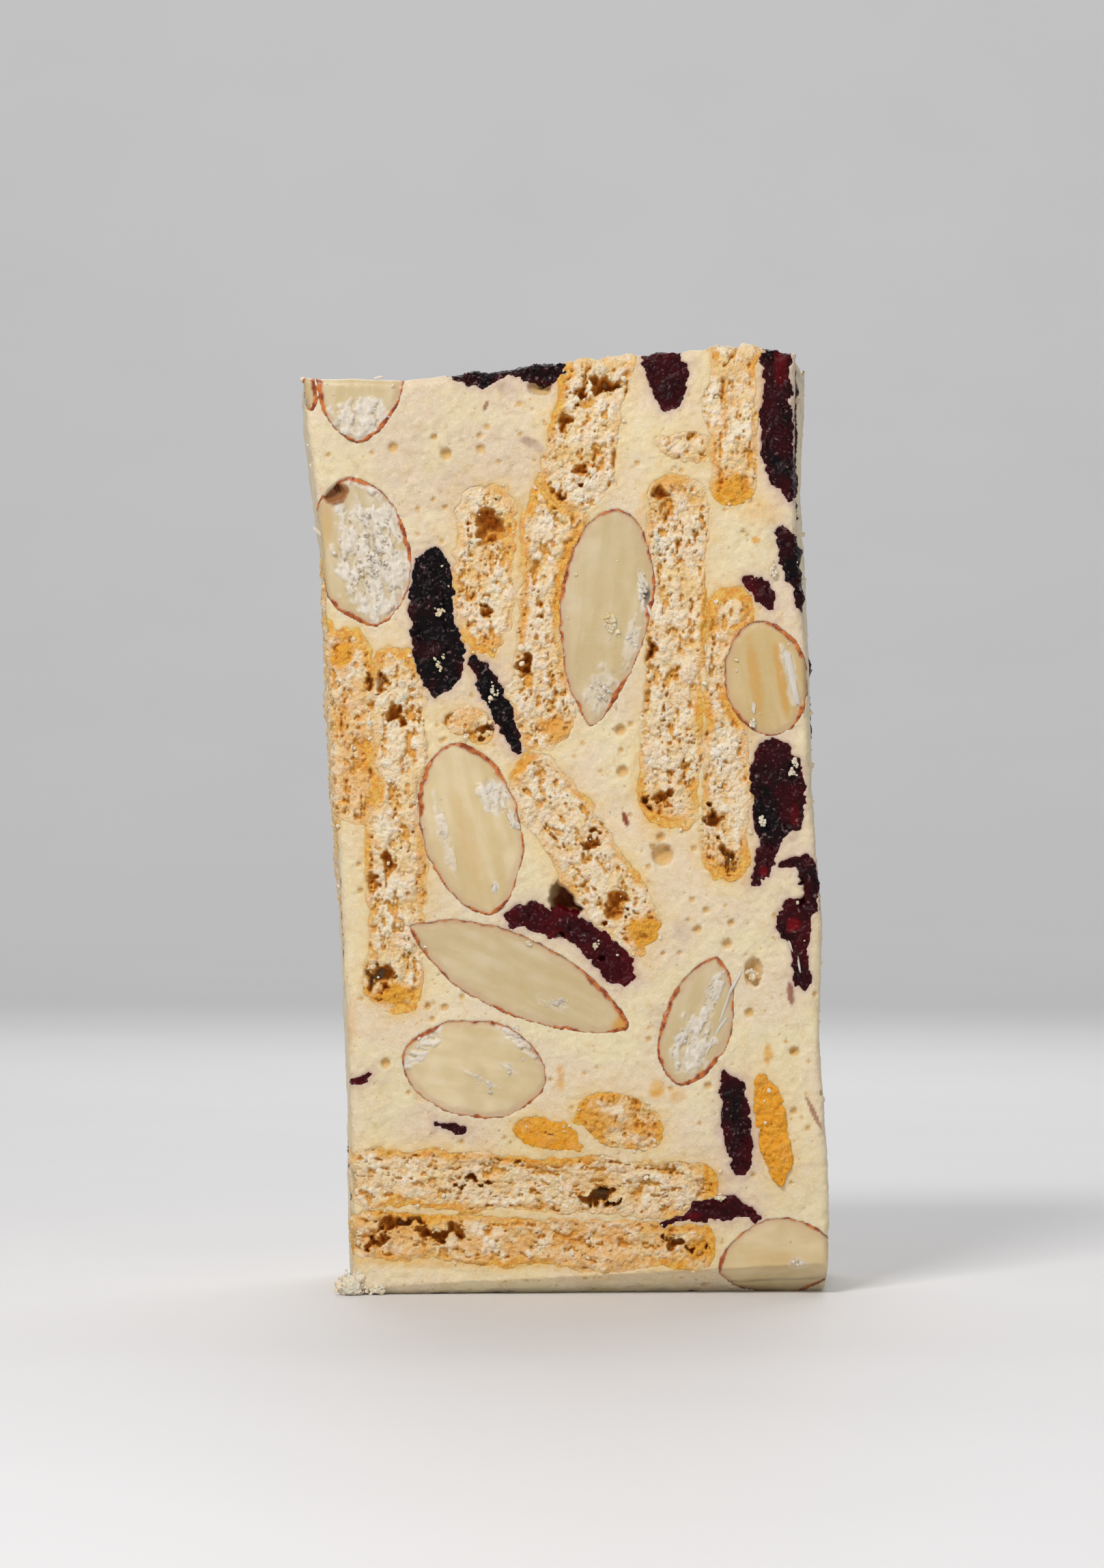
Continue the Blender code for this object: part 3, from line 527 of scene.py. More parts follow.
class Patch:
    """A grid of points on one face of the bar, with their outward directions."""

    def __init__(self, face, span_a, span_b, step):
        self.face = face
        count_a = max(int(round((span_a[1] - span_a[0]) / step)), 2) + 1
        count_b = max(int(round((span_b[1] - span_b[0]) / step)), 2) + 1
        self.a = np.linspace(*span_a, count_a)
        self.b = np.linspace(*span_b, count_b)
        a, b = np.meshgrid(self.a, self.b, indexing="ij")
        x, y, z, sink = self.box_place(a, b)
        self.points = deform(x, y, z)
        along_a = np.gradient(self.points, axis=0)
        along_b = np.gradient(self.points, axis=1)
        outward = np.cross(along_a, along_b)
        self.flipped = face in ("back", "left", "bottom")
        if self.flipped:
            outward = -outward
        length = np.linalg.norm(outward, axis=-1, keepdims=True)
        self.outward = outward / np.maximum(length, 1e-9)
        self.sink = sink

    def box_place(self, a, b):
        """Where each point of the sheet lies on the plain box, and how far it sinks at a seam."""
        if self.face in ("front", "back"):
            x, drop_x, sink_x = wrap(a, HALF_X)
            z, drop_z, sink_z = wrap(b - TALL / 2, TALL / 2)
            inward = np.minimum(drop_x + drop_z, 2 * (EDGE_ROUND + EDGE_WRAP))
            y = -HALF_Y + inward
            if self.face == "back":
                y = -y
            return x, y, z + TALL / 2, np.maximum(sink_x, sink_z)
        if self.face in ("top", "bottom"):
            x, drop, sink = wrap(a, HALF_X)
            z = TALL - drop
            if self.face == "bottom":
                z = drop
            near = HALF_Y - SIDE_INSET - np.abs(b)
            return x, b, z, np.maximum(sink, SEAM_SINK * smooth(1 - near / SEAM))
        side = HALF_X if self.face == "right" else -HALF_X
        near_a = HALF_Y - SIDE_INSET - np.abs(a)
        near_b = TALL / 2 - SIDE_INSET - np.abs(b - TALL / 2)
        near = np.minimum(near_a, near_b)
        return np.full(a.shape, side), a, b, SEAM_SINK * smooth(1 - near / SEAM)


def in_plane(points, field):
    """Turns a rough distance at a grid of points into one measured along the face."""
    step_a = np.maximum(np.linalg.norm(np.gradient(points, axis=0), axis=-1), 1e-6)
    step_b = np.maximum(np.linalg.norm(np.gradient(points, axis=1), axis=-1), 1e-6)
    slope = np.hypot(np.gradient(field, axis=0) / step_a, np.gradient(field, axis=1) / step_b)
    return np.clip(field / np.clip(slope, 0.3, None), -8, 8)


def extent(marked):
    """The rows and the columns of a grid in which any point is marked."""
    return np.where(marked.any(axis=1))[0], np.where(marked.any(axis=0))[0]


def to_local(points, face, across=0.0, height=0.0, lean=0.0, inward=0.0, turn=0.0):
    """The points in a piece's own frame: across it, into the bar, and up it."""
    about_z, plane = FACES[face]
    moved = points - np.array(plane)
    angle = math.radians(about_z)
    x = moved[..., 0] * math.cos(angle) + moved[..., 1] * math.sin(angle)
    y = -moved[..., 0] * math.sin(angle) + moved[..., 1] * math.cos(angle)
    x, z = x - across, moved[..., 2] - height
    angle = math.radians(lean)
    x, z = x * math.cos(angle) - z * math.sin(angle), x * math.sin(angle) + z * math.cos(angle)
    angle = math.radians(turn)
    x, y = x * math.cos(angle) + y * math.sin(angle), -x * math.sin(angle) + y * math.cos(angle)
    return np.stack([x, y - inward, z], axis=-1)


def almond_frame(points, spec):
    face, across, height, _, _, _, lean, _, sunk = spec
    return to_local(points, face, across, height, lean, sunk)


def almond_field(points, spec):
    """The rough distance to an almond, pointed at its ends as its spec says."""
    _, _, _, length, width, depth, _, pointed, _ = spec
    top_power, bottom_power = (0.5 + POINTED_POWER * point for point in pointed)
    peak_at = (bottom_power - top_power) / (bottom_power + top_power)
    peak = (1 - peak_at) ** top_power * (1 + peak_at) ** bottom_power
    local = almond_frame(points, spec)
    along = np.clip(2 * local[..., 2] / length, -1, 1)
    swell = (1 - along) ** top_power * (1 + along) ** bottom_power / peak
    ring = np.hypot(2 * local[..., 0] / width, 2 * local[..., 1] / depth)
    past = np.maximum(np.abs(local[..., 2]) - length / 2, 0)
    return width / 2 * (ring - swell) + past + 0.34 * rough(points, 3.2, 3) + 0.07 * noise(points / 0.6, 7)


def biscuit_frame(points, spec):
    face, across, height, chord, _, lean, side, turn = spec
    inward = side * math.sqrt(BISCUIT_RADIUS**2 - (chord / 2) ** 2)
    return to_local(points, face, across, height, lean, inward, turn)


def biscuit_field(points, spec):
    """The rough distance to a round biscuit with a rounded rim."""
    thickness = spec[4]
    rim = RIM_SHARE * thickness
    local = biscuit_frame(points, spec)
    out_x = np.abs(local[..., 0]) - thickness / 2 + rim
    out_r = np.hypot(local[..., 1], local[..., 2]) - BISCUIT_RADIUS + rim
    outside = np.hypot(np.maximum(out_x, 0), np.maximum(out_r, 0))
    plain = outside + np.minimum(np.maximum(out_x, out_r), 0) - rim
    return plain + 0.7 * rough(points, 3.0, 11) + 0.16 * noise(points / 0.7, 17)


def spine_points(spine):
    """More points along a spine, on a Catmull-Rom curve through its own."""
    ends = np.array([spine[0], *spine, spine[-1]], dtype=float)
    places = []
    for a, b, c, d in zip(ends, ends[1:], ends[2:], ends[3:]):
        for share in np.arange(SPINE_STEPS) / SPINE_STEPS:
            bend = (2 * a - 5 * b + 4 * c - d) * share**2 + (3 * b - a - 3 * c + d) * share**3
            places.append(0.5 * (2 * b + (c - a) * share + bend))
    return np.array([*places, ends[-1]])


def ribbon_field(points, spec, ragged):
    """The rough distance to a piece that follows a spine on its face and goes some way in."""
    face, depth, spine = spec
    local = to_local(points, face)
    place = local[..., [0, 2]]
    nearest = np.full(place.shape[:-1], FAR_OUT)
    curve = spine_points(spine)
    for start, end in zip(curve, curve[1:]):
        run = end[:2] - start[:2]
        share = np.clip(((place - start[:2]) @ run) / max(run @ run, 1e-9), 0, 1)
        away = np.linalg.norm(place - start[:2] - share[..., None] * run, axis=-1)
        nearest = np.minimum(nearest, away - start[2] - (end[2] - start[2]) * share)
    nearest = nearest + ragged * (rough(points, 1.3, 23) + 0.35 * noise(points / 0.4, 29))
    deeper = local[..., 1] - depth + RIBBON_END_WAVE * rough(points, 2.6, 27)
    outside = np.hypot(np.maximum(nearest + RIBBON_ROUND, 0), np.maximum(deeper + RIBBON_ROUND, 0))
    return outside + np.minimum(np.maximum(nearest, deeper) + RIBBON_ROUND, 0) - RIBBON_ROUND


class Inclusion:
    """One almond, cranberry or biscuit: its name, its kind, its spec and its distance field."""

    def __init__(self, kind, label, spec, shape):
        self.name = f"{kind}_{label}"
        self.kind = kind
        self.label = label
        self.spec = spec
        self.shape = shape
        self.higher = []
        low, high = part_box(self.name)
        shift = np.array(CENTRING)
        self.low = np.array(low) / MM - shift
        self.high = np.array(high) / MM - shift

    def raw(self, points):
        if self.shape == "almond":
            return almond_field(points, self.spec)
        if self.shape == "biscuit":
            return biscuit_field(points, self.spec)
        return ribbon_field(points, self.spec, RAGGED[self.kind])

    def frame(self, points):
        """The points in the piece's own frame."""
        if self.shape == "almond":
            return almond_frame(points, self.spec)
        if self.shape == "biscuit":
            return biscuit_frame(points, self.spec)
        return to_local(points, self.spec[0])

    def near(self, points, margin):
        inside = (points > self.low - margin) & (points < self.high + margin)
        return inside.all(axis=-1)

    def field(self, points):
        """The distance to the piece, less what the pieces that cut into it take from it."""
        value = self.raw(points)
        for other in self.higher:
            if (other.low < self.high + 1).all() and (other.high > self.low - 1).all():
                value = np.maximum(value, 0.05 - other.raw(points))
        return value

    def window(self, face, margin):
        """The part of a face that the piece shows on, as two ranges, or None."""
        span_a, span_b = face_spans(face)
        coarse = Patch(face, span_a, span_b, WINDOW_STEP)
        close = self.near(coarse.points, margin + WINDOW_STEP)
        if not close.any():
            return None
        rows, columns = extent(close)
        a = coarse.a[[max(rows[0] - 1, 0), min(rows[-1] + 1, len(coarse.a) - 1)]]
        b = coarse.b[[max(columns[0] - 1, 0), min(columns[-1] + 1, len(coarse.b) - 1)]]
        return tuple(a), tuple(b)


def all_inclusions():
    """Every almond, cranberry and biscuit. Each gives way to the ones before it."""
    groups = [
        ("almond", ALMONDS, "almond"),
        ("almond", ALMOND_CHIPS, "ribbon"),
        ("cranberry", CRANBERRIES, "ribbon"),
        ("biscuit", BISCUITS, "biscuit"),
        ("biscuit", BROKEN_BISCUITS, "ribbon"),
    ]
    found = []
    for kind, by_face, shape in groups:
        for face, specs in by_face.items():
            for label, spec in specs.items():
                inclusion = Inclusion(kind, label, (face, *spec), shape)
                inclusion.higher = list(found)
                found.append(inclusion)
    return found


def dig(patch, relief, centre, half, depth, seed, ragged=0.25, shaken=0.0):
    """Sinks an uneven round hollow in a patch's relief, and returns how much each point lies in it."""
    offset = (patch.points + shaken - np.array(centre)) / np.array(half)
    apart = np.linalg.norm(offset, axis=-1)
    near = apart < 1.7
    inside = np.zeros(relief.shape)
    if near.any():
        uneven = apart[near] + ragged * rough(patch.points[near], 0.9, seed, 4)
        inside[near] = np.sqrt(np.clip(1 - uneven**2, 0, 1))
        relief -= depth * inside
    return inside


def oval(points, x, z, half_x, half_z, lean):
    """How far each point is from the middle of a leaning oval at the front, with 1 at its edge."""
    spot = to_local(points, "front", x, z, lean)
    return np.hypot(spot[..., 0] / half_x, spot[..., 2] / half_z)


def dig_all(patch, relief, hollows, seed):
    """Sinks every hollow of a list, and returns how much each point lies in them."""
    inside = np.zeros(relief.shape)
    for index, (x, z, half_x, half_z, depth) in enumerate(hollows):
        inside += dig(patch, relief, (x, -HALF_Y, z), (half_x, HOLLOW_REACH, half_z), depth, seed + index)
    return inside


def spotted(patch, kind):
    """How much of each colour of spot every point of a patch on this kind of piece has: mostly stains and
    seeds, with a few of painted shade and painted highlight.
    """
    amounts = {colour: np.zeros(patch.points.shape[:2]) for colour in SPOT_COLOURS}
    if patch.face == "front":
        for index, spot in enumerate(SPOTS[kind]):
            place, strength = spot[:5], spot[5]
            colour = spot[6] if len(spot) > 6 else "orange"
            apart = oval(patch.points, *place) + 0.4 * rough(patch.points, 0.9, 211 + index)
            soft = 0.25 if colour == "seed" else 0.7
            amounts[colour] = np.maximum(amounts[colour], strength * smooth((1.15 - apart) / soft))
    return amounts


def swell(points):
    """The soft waves in the cut faces, which run on from the nougat over the pieces in it."""
    return SWELL_HEIGHT * rough(points, SWELL_SIZE, 31)


def nougat_relief(patch, inclusions):
    """The nougat's height over the plain face, with how close each kind of piece is."""
    points = patch.points
    relief = swell(points) + 0.12 * rough(points, 1.3, 37) + 0.065 * noise(points / 0.42, 43)
    away = {kind: np.full(relief.shape, FAR) for kind in ("almond", "cranberry", "biscuit")}
    for inclusion in inclusions:
        near = inclusion.near(points, 3.0)
        rows, columns = extent(near)
        if len(rows) < 3 or len(columns) < 3:
            continue
        part = (slice(rows[0], rows[-1] + 1), slice(columns[0], columns[-1] + 1))
        distance = in_plane(points[part], inclusion.field(points[part]))
        distance = np.where(near[part], distance, FAR)
        away[inclusion.kind][part] = np.minimum(away[inclusion.kind][part], distance)
    nearest = np.minimum(np.minimum(away["almond"], away["cranberry"]), away["biscuit"])
    pits = np.zeros(relief.shape)
    if patch.face == "front":
        for x, z, radius in BUBBLES:
            pits += round_pit(patch, relief, (x, -HALF_Y, z), radius)
        pits += dig_all(patch, relief, HOLLOWS, 41)
    count, largest = FRONT_PITS if patch.face == "front" else OTHER_PITS
    draw = np.random.default_rng(len(patch.face) * 7 + int(patch.flipped))
    for _ in range(count):
        row, column = random_place(patch, draw)
        radius = SMALLEST_PIT + largest * draw.random() ** 3
        if nearest[row, column] > 0.3:
            pits += round_pit(patch, relief, points[row, column], radius)
    relief -= POCKET_DEPTH * smooth((-nearest - 0.03) / PATCH_EDGE)
    return relief, nearest, away, np.clip(pits, 0, 1)


def random_place(patch, draw):
    """The row and column of a random point of a patch."""
    row = draw.integers(0, patch.points.shape[0])
    return row, draw.integers(0, patch.points.shape[1])


def random_size(sizes, power, draw):
    """A random size between two, nearer the smaller one when the power is high."""
    return sizes[0] + (sizes[1] - sizes[0]) * draw.random() ** power


def round_pit(patch, relief, centre, radius):
    """Sinks an open bubble of this radius, and returns how much each point lies in it."""
    apart = np.linalg.norm(patch.points - np.array(centre), axis=-1) / radius
    inside = np.sqrt(np.clip(1.15 - apart**2, 0, 1)) * smooth((1.07 - apart) / 0.2)
    relief -= 0.85 * radius * inside
    return inside


def toasting(points):
    """How browned the biscuits' edges are, from 0 to 1, in uneven stretches."""
    return smooth(0.5 + 1.5 * rough(points, 5.0, 79, 2))


def toasted(points, away):
    """The tinge that the biscuits give the nougat: wide and faint, with a browner edge in places."""
    away = np.maximum(away, 0)
    return 0.45 * np.exp(-away / 1.1) + 0.5 * np.exp(-away / 0.35) * toasting(points)


def crumb(points, local, seed):
    """Crumbly relief: round lumps with smaller ones on them, over uneven ground."""
    warp = shake(points, 0.6, seed)
    ground = rough(local / np.array([0.8, 1.0, 1.0]), 1.7, seed + 13, 4)
    big, big_lot = lumps(points + 0.1 * warp, 0.56, seed + 9)
    small, small_lot = lumps(points + 0.05 * warp, 0.34, seed + 19)
    lumpy = 0.16 * (big_lot - 0.5) + 0.2 * (0.4 - big**2)
    fine = 0.12 * (small_lot - 0.5) + 0.16 * (0.4 - small**2)
    return 0.03 + 0.42 * ground + lumpy + fine, 0.5 * (small_lot + big_lot)


def biscuit_relief(patch, inclusion, distance):
    """A cut biscuit: a smooth browned rim in places, and grainy crumb with hollows inside."""
    points = patch.points
    depth_in = -distance + 0.16 * noise(points / 0.45, 77) + 0.1 * noise(points / 0.2, 78)
    browned = toasting(points)
    bake = BAKES.get(inclusion.label, USUAL_BAKE)
    rim_width = 0.02 + 0.4 * browned + max(bake - 1, 0) * 5
    local = inclusion.frame(points)
    if inclusion.shape == "biscuit":
        ring = np.hypot(local[..., 1], local[..., 2])
        end_rim = END_RIMS.get(inclusion.label, USUAL_END_RIM)
        rim_width = rim_width + end_rim * smooth((ring - BISCUIT_RADIUS + 2.5) / 2.0)
    inner = smooth((depth_in - rim_width + 0.25) / 0.5)
    fine = 0.35 - grains(points, 0.24, 59)
    crumbly, lot = crumb(points, local, 53)
    rim_relief = 0.1 * fine + 0.05 * noise(points / 0.5, 61) + max(bake - 1, 0) * crumbly
    relief = 0.02 + inner * crumbly + (1 - inner) * rim_relief
    gaps = rough(local / np.array([0.8, 2.2, 2.2]), 1.0, 67, 5) + 0.2 * noise(points / 0.3, 71)
    open_gap = inner * smooth((gaps - 0.3) / 0.3)
    pores = inner * smooth((rough(local / np.array([0.8, 1.2, 1.2]), 0.7, 91, 3) - 0.24) / 0.16)
    relief -= GAP_DEPTH * open_gap + PORE_DEPTH * pores
    # Gaps and pores take part of the caves' darker colour: painted shade.
    cave = np.maximum(0.5 * open_gap, 0.45 * pores)
    shaken = CAVE_SHAKE * np.stack([rough(points, 0.9, 141 + 7 * axis, 3) for axis in range(3)], axis=-1)
    if patch.face == "front":
        for index, (x, z, half_x, half_z, depth) in enumerate(CAVES):
            before = relief.copy()
            half = (half_x, CAVE_REACH, half_z)
            inside = dig(patch, relief, (x, -HALF_Y, z), half, 1.3 * depth, 73 + index, 0.7, shaken)
            relief = before - (before - relief) * inner
            cave = np.maximum(cave, inside * inner)
    crust = (1 - smooth((depth_in - rim_width) / 0.7)) * min(0.25 + 0.75 * max(browned.max(), bake), 1.0)
    crust = crust * np.maximum(0.15 + 0.85 * browned, smooth((rim_width - 0.5) / 0.4))
    # Low places of the crumb, which the material paints a darker golden: painted shade.
    low = inner * smooth((0.12 - relief) / 0.5)
    named = {"crust": crust, "cave": cave, "low": low, "lot": lot, "bake": np.full(relief.shape, bake)}
    return relief, named


def almond_relief(patch, inclusion, distance):
    """A cut almond: a smooth kernel with flaky places, inside a thin skin."""
    points = patch.points
    depth_in = -distance + 0.05 * noise(points / 0.5, 105)
    local = inclusion.frame(points)
    skin_width = 0.05 + 0.36 * smooth(0.45 + 1.5 * rough(points, 2.6, 111)) ** 2
    kernel = smooth((depth_in - skin_width) / 0.1)
    relief = 0.04 + 0.1 * rough(points, 3.6, 83) - 0.12 * (1 - smooth(depth_in / 0.9))
    relief += 0.012 * rough(points / np.array([3.0, 3.0, 0.35]), 1.0, 85, 2)
    stripes = rough(local / np.array([0.9, 0.9, 4.5]), 1.0, 89, 3)
    flaky = np.zeros(relief.shape)
    if patch.face == "front":
        for index, (*place, amount) in enumerate(FLAKES):
            apart = oval(points, *place) + 0.6 * rough(points, 1.2, 97 + index, 4)
            flaky = np.maximum(flaky, amount * smooth((1.15 - apart) / 0.25))
    torn = local + 0.12 * shake(points, 0.35, 101)
    plate, lot = lumps(torn / np.array([0.5, 0.5, 1.3]), 1.0, 103)
    _, chip_lot = lumps(torn / np.array([0.28, 0.28, 0.6]), 1.0, 119)
    flakes = flaky * (0.3 + 0.7 * smooth((lot - 0.12) / 0.2)) * (0.6 + 0.4 * chip_lot)
    relief += kernel * flaky * (0.34 * (lot - 0.4) + 0.14 * (chip_lot - 0.5) + 0.1 * (0.4 - plate**2))
    relief += (1 - kernel) * (0.08 + 0.1 * noise(points / 0.4, 107))
    near_skin = 1 - smooth((depth_in - 0.2) / 0.8)
    light, yellow = ALMOND_TONES.get(inclusion.label, USUAL_ALMOND_TONE)
    named = {"skin": 1 - kernel, "flake": flakes, "band": 0.5 + 0.5 * stripes, "rim": near_skin}
    named["light"] = np.full(relief.shape, light)
    named["yellow"] = np.full(relief.shape, yellow)
    return relief, named


def cranberry_relief(patch, inclusion, distance):
    """A cut dried cranberry: wrinkled, sticky and grainy."""
    points = patch.points
    folds = np.abs(rough(points, 2.2, 109))
    fine = grains(points, 0.26, 113)
    coarse = grains(points, 0.55, 117)
    relief = -0.05 - 0.8 * (0.2 - folds) * smooth(-distance / 0.5)
    relief = relief + 0.24 * (0.5 - fine) + 0.16 * (0.5 - coarse)
    redness = REDS.get(inclusion.label, USUAL_RED)
    edge = smooth(1 + distance / 0.6)
    red = np.clip(redness + 0.6 * rough(points, 1.9, 127) + 0.2 * edge, 0, 1)
    return relief, {"red": red}


RELIEFS = {"biscuit": biscuit_relief, "almond": almond_relief, "cranberry": cranberry_relief}


def cells_of(patch, keep):
    """The corner indices of the grid cells whose four corners are all kept."""
    whole = keep[:-1, :-1] & keep[1:, :-1] & keep[1:, 1:] & keep[:-1, 1:]
    rows, columns = np.where(whole)
    wide = keep.shape[1]
    corner = rows * wide + columns
    quads = np.stack([corner, corner + wide, corner + wide + 1, corner + 1], axis=-1)
    if patch.flipped:
        quads = quads[:, ::-1]
    return quads


def closing_fan(quads, apex):
    """Triangles from the open edges of some cells to one point behind them."""
    starts = quads.ravel()
    ends = np.roll(quads, -1, axis=1).ravel()
    most = int(max(starts.max(), ends.max())) + 1
    forward = starts * most + ends
    backward = ends * most + starts
    lone = ~np.isin(forward, backward)
    return np.stack([ends[lone], starts[lone], np.full(lone.sum(), apex)], axis=-1)


def link(name, data):
    """A new object with this data, in the scene."""
    obj = bpy.data.objects.new(name, data)
    bpy.context.scene.collection.objects.link(obj)
    return obj


def keep_values(mesh, values):
    """Stores values by name on a mesh's points, for the materials to read."""
    for key, column in values.items():
        attribute = mesh.attributes.new(key, "FLOAT", "POINT")
        attribute.data.foreach_set("value", column.astype(np.float32))


def mesh_object(name, parts, closed):
    """One mesh object from parts of (patch, relief, kept points, values by name)."""
    places, faces_4, faces_3, values = [], [], [], {}
    base = 0
    for patch, relief, keep, named in parts:
        quads = cells_of(patch, keep)
        if not len(quads):
            continue
        used, compact = np.unique(quads, return_inverse=True)
        quads = compact.reshape(-1, 4)
        height = relief - patch.sink
        moved = (patch.points + patch.outward * height[..., None]).reshape(-1, 3)[used]
        if closed:
            inward = patch.outward.reshape(-1, 3)[used].mean(axis=0)
            apex = moved.mean(axis=0) - BACK_DEPTH * inward
            moved = np.vstack([moved, apex])
            faces_3.append(closing_fan(quads, len(moved) - 1) + base)
        faces_4.append(quads + base)
        places.append(moved)
        for key, field in named.items():
            column = field.reshape(-1)[used]
            if closed:
                column = np.append(column, 0.0)
            values.setdefault(key, []).append(column)
        base += len(moved)
    coords = (np.vstack(places) + np.array(CENTRING)) * MM
    coords[:, 2] = np.maximum(coords[:, 2], 0.0)
    quads = np.vstack(faces_4)
    threes = np.vstack(faces_3) if faces_3 else np.zeros((0, 3), dtype=int)
    mesh = bpy.data.meshes.new(name)
    mesh.vertices.add(len(coords))
    mesh.vertices.foreach_set("co", coords.ravel())
    mesh.loops.add(quads.size + threes.size)
    mesh.loops.foreach_set("vertex_index", np.concatenate([quads.ravel(), threes.ravel()]).astype(np.int32))
    mesh.polygons.add(len(quads) + len(threes))
    starts = np.concatenate([np.arange(len(quads)) * 4, quads.size + np.arange(len(threes)) * 3])
    mesh.polygons.foreach_set("loop_start", starts.astype(np.int32))
    mesh.update(calc_edges=True)
    mesh.shade_smooth()
    keep_values(mesh, {key: np.concatenate(columns) for key, columns in values.items()})
    return link(name, mesh)


def inclusion_object(inclusion, coarser):
    """One almond, cranberry or biscuit, with a patch on every face that it shows at."""
    parts = []
    for face in FACE_NAMES:
        window = inclusion.window(face, 0.6)
        if window is None:
            continue
        step = (FRONT_STEP if face == "front" else OTHER_STEP)[inclusion.kind] * coarser
        patch = Patch(face, *window, step)
        distance = in_plane(patch.points, inclusion.field(patch.points))
        keep = (distance < PATCH_EDGE + 0.05) & inclusion.near(patch.points, 1.5)
        if not (distance < -0.1).any():
            continue
        relief, named = RELIEFS[inclusion.kind](patch, inclusion, distance)
        named.update(spotted(patch, inclusion.kind))
        if face == "front":
            dig_all(patch, relief, PITS.get(inclusion.kind, []), 301)
        relief = relief + swell(patch.points) - POCKET_DEPTH * smooth((distance - 0.02) / PATCH_EDGE)
        parts.append((patch, relief, keep, named))
    return mesh_object("look_" + inclusion.name, parts, True)


def nougat_object(name, faces, inclusions, step):
    """The nougat's surface on some of the faces, open where the other pieces show."""
    parts = []
    for face in faces:
        patch = Patch(face, *face_spans(face), step)
        relief, nearest, away, pits = nougat_relief(patch, inclusions)
        named = {
            "pit": pits,
            **spotted(patch, "nougat"),
            "toast": toasted(patch.points, away["biscuit"]),
            "berry": np.exp(-np.maximum(away["cranberry"], 0) / 0.55),
        }
        parts.append((patch, relief, nearest > -0.6, named))
    return mesh_object(name, parts, False)


def crumb_shape():
    """The corners and faces of one round crumb, 1 across its radius."""
    bm = bmesh.new()
    bmesh.ops.create_icosphere(bm, subdivisions=2, radius=1.0)
    corners = np.array([vert.co[:] for vert in bm.verts])
    faces = np.array([[vert.index for vert in face.verts] for face in bm.faces])
    bm.free()
    return corners, faces


def crumbs_object(name, crumbs, named):
    """One mesh of loose crumbs from (place, radius) pairs, each uneven and turned its own way.

    A flake has three radii and a lean instead.
    """
    corners, faces = crumb_shape()
    draw = np.random.default_rng(5)
    places, triangles = [], []
    for index, (place, radius, *lean) in enumerate(crumbs):
        bumpy = (1 + 0.45 * noise(corners * 1.6 + index * 3.1, 131))[:, None]
        if lean:
            turn = np.array(Matrix.Rotation(math.radians(lean[0]), 3, "Y")).T
            shaped = (corners * bumpy * radius) @ turn
        else:
            turn = np.linalg.qr(draw.normal(size=(3, 3)))[0]
            shaped = (corners * draw.uniform(0.65, 1.25, 3) * radius * bumpy) @ turn
        places.append(np.array(place) + shaped)
        triangles.append(faces + index * len(corners))
    mesh = bpy.data.meshes.new(name)
    coords = (np.vstack(places) + np.array(CENTRING)) * MM
    coords[:, 2] = np.maximum(coords[:, 2], 0.00002)
    mesh.from_pydata(coords.tolist(), [], np.vstack(triangles).tolist())
    keep_values(mesh, {key: np.full(len(coords), value) for key, value in named.items()})
    return link(name, mesh)


def scattered(patch, chance, count, sizes, draw):
    """Crumbs at random points of a patch, more of them where the chance is high."""
    found = []
    while len(found) < count:
        row, column = random_place(patch, draw)
        if draw.random() < chance[row, column]:
            radius = random_size(sizes, 3, draw)
            found.append((patch.points[row, column] + 0.25 * radius * patch.outward[row, column], radius))
    return found


def heap(x, z, spread_x, spread_z, count, sizes, draw):
    """A little heap of crumbs stuck to the front."""
    found = []
    for _ in range(int(count * 1.8)):
        away = draw.normal(size=2) * 0.36
        radius = random_size(sizes, 2, draw)
        lift = 0.4 * (sizes[0] + sizes[1]) * draw.random()
        found.append(((x + spread_x * away[0], -HALF_Y - lift, z + spread_z * away[1]), radius))
    return found


def loose_crumbs(inclusions):
    """The crumbs that the knife left on the faces, and white shavings on the almonds."""
    draw = np.random.default_rng(9)
    crumbs = []
    for face, count in CRUMB_COUNTS.items():
        patch = Patch(face, *face_spans(face), 0.5)
        biscuit = np.full(patch.points.shape[:2], FAR)
        for inclusion in inclusions:
            if inclusion.kind == "biscuit" and inclusion.near(patch.points, 1.0).any():
                near = inclusion.near(patch.points, 2.0)
                biscuit = np.minimum(biscuit, np.where(near, inclusion.raw(patch.points), FAR))
        chance = 0.05 + 0.95 * np.exp(-np.maximum(biscuit, 0) / 0.5)
        crumbs += scattered(patch, chance, count, CRUMB_SIZES, draw)
    for x, z, spread_x, spread_z, count, sizes in CRUMB_HEAPS:
        crumbs += heap(x, z, spread_x, spread_z, count, sizes, draw)
    shavings = []
    front = Patch("front", *face_spans("front"), 0.3)
    for x, z, length, width, lean in SHARDS:
        apart = np.hypot(front.points[..., 0] - x, front.points[..., 2] - z)
        surface = front.points[np.unravel_index(apart.argmin(), apart.shape)][1]
        shavings.append(((x, surface - 0.12, z), (width / 3.5, 0.09, length / 2), lean))
    for x, z, half_x, half_z, _, _ in FLAKES:
        shavings += heap(x, z, half_x * 0.9, half_z * 0.9, int(5 + 3 * half_x * half_z), SHAVING_SIZES, draw)
    baked = {"crust": 0.0, "cave": 0.0, "low": 0.1, "lot": 0.7, "bake": 0.1}
    pale = {"skin": 0.0, "flake": 0.8, "band": 0.5, "rim": 0.0, "light": 0.5, "yellow": 0.0}
    return [
        (crumbs_object("look_crumbs", crumbs, baked), "biscuit"),
        (crumbs_object("look_shavings", shavings, pale), "almond"),
    ]


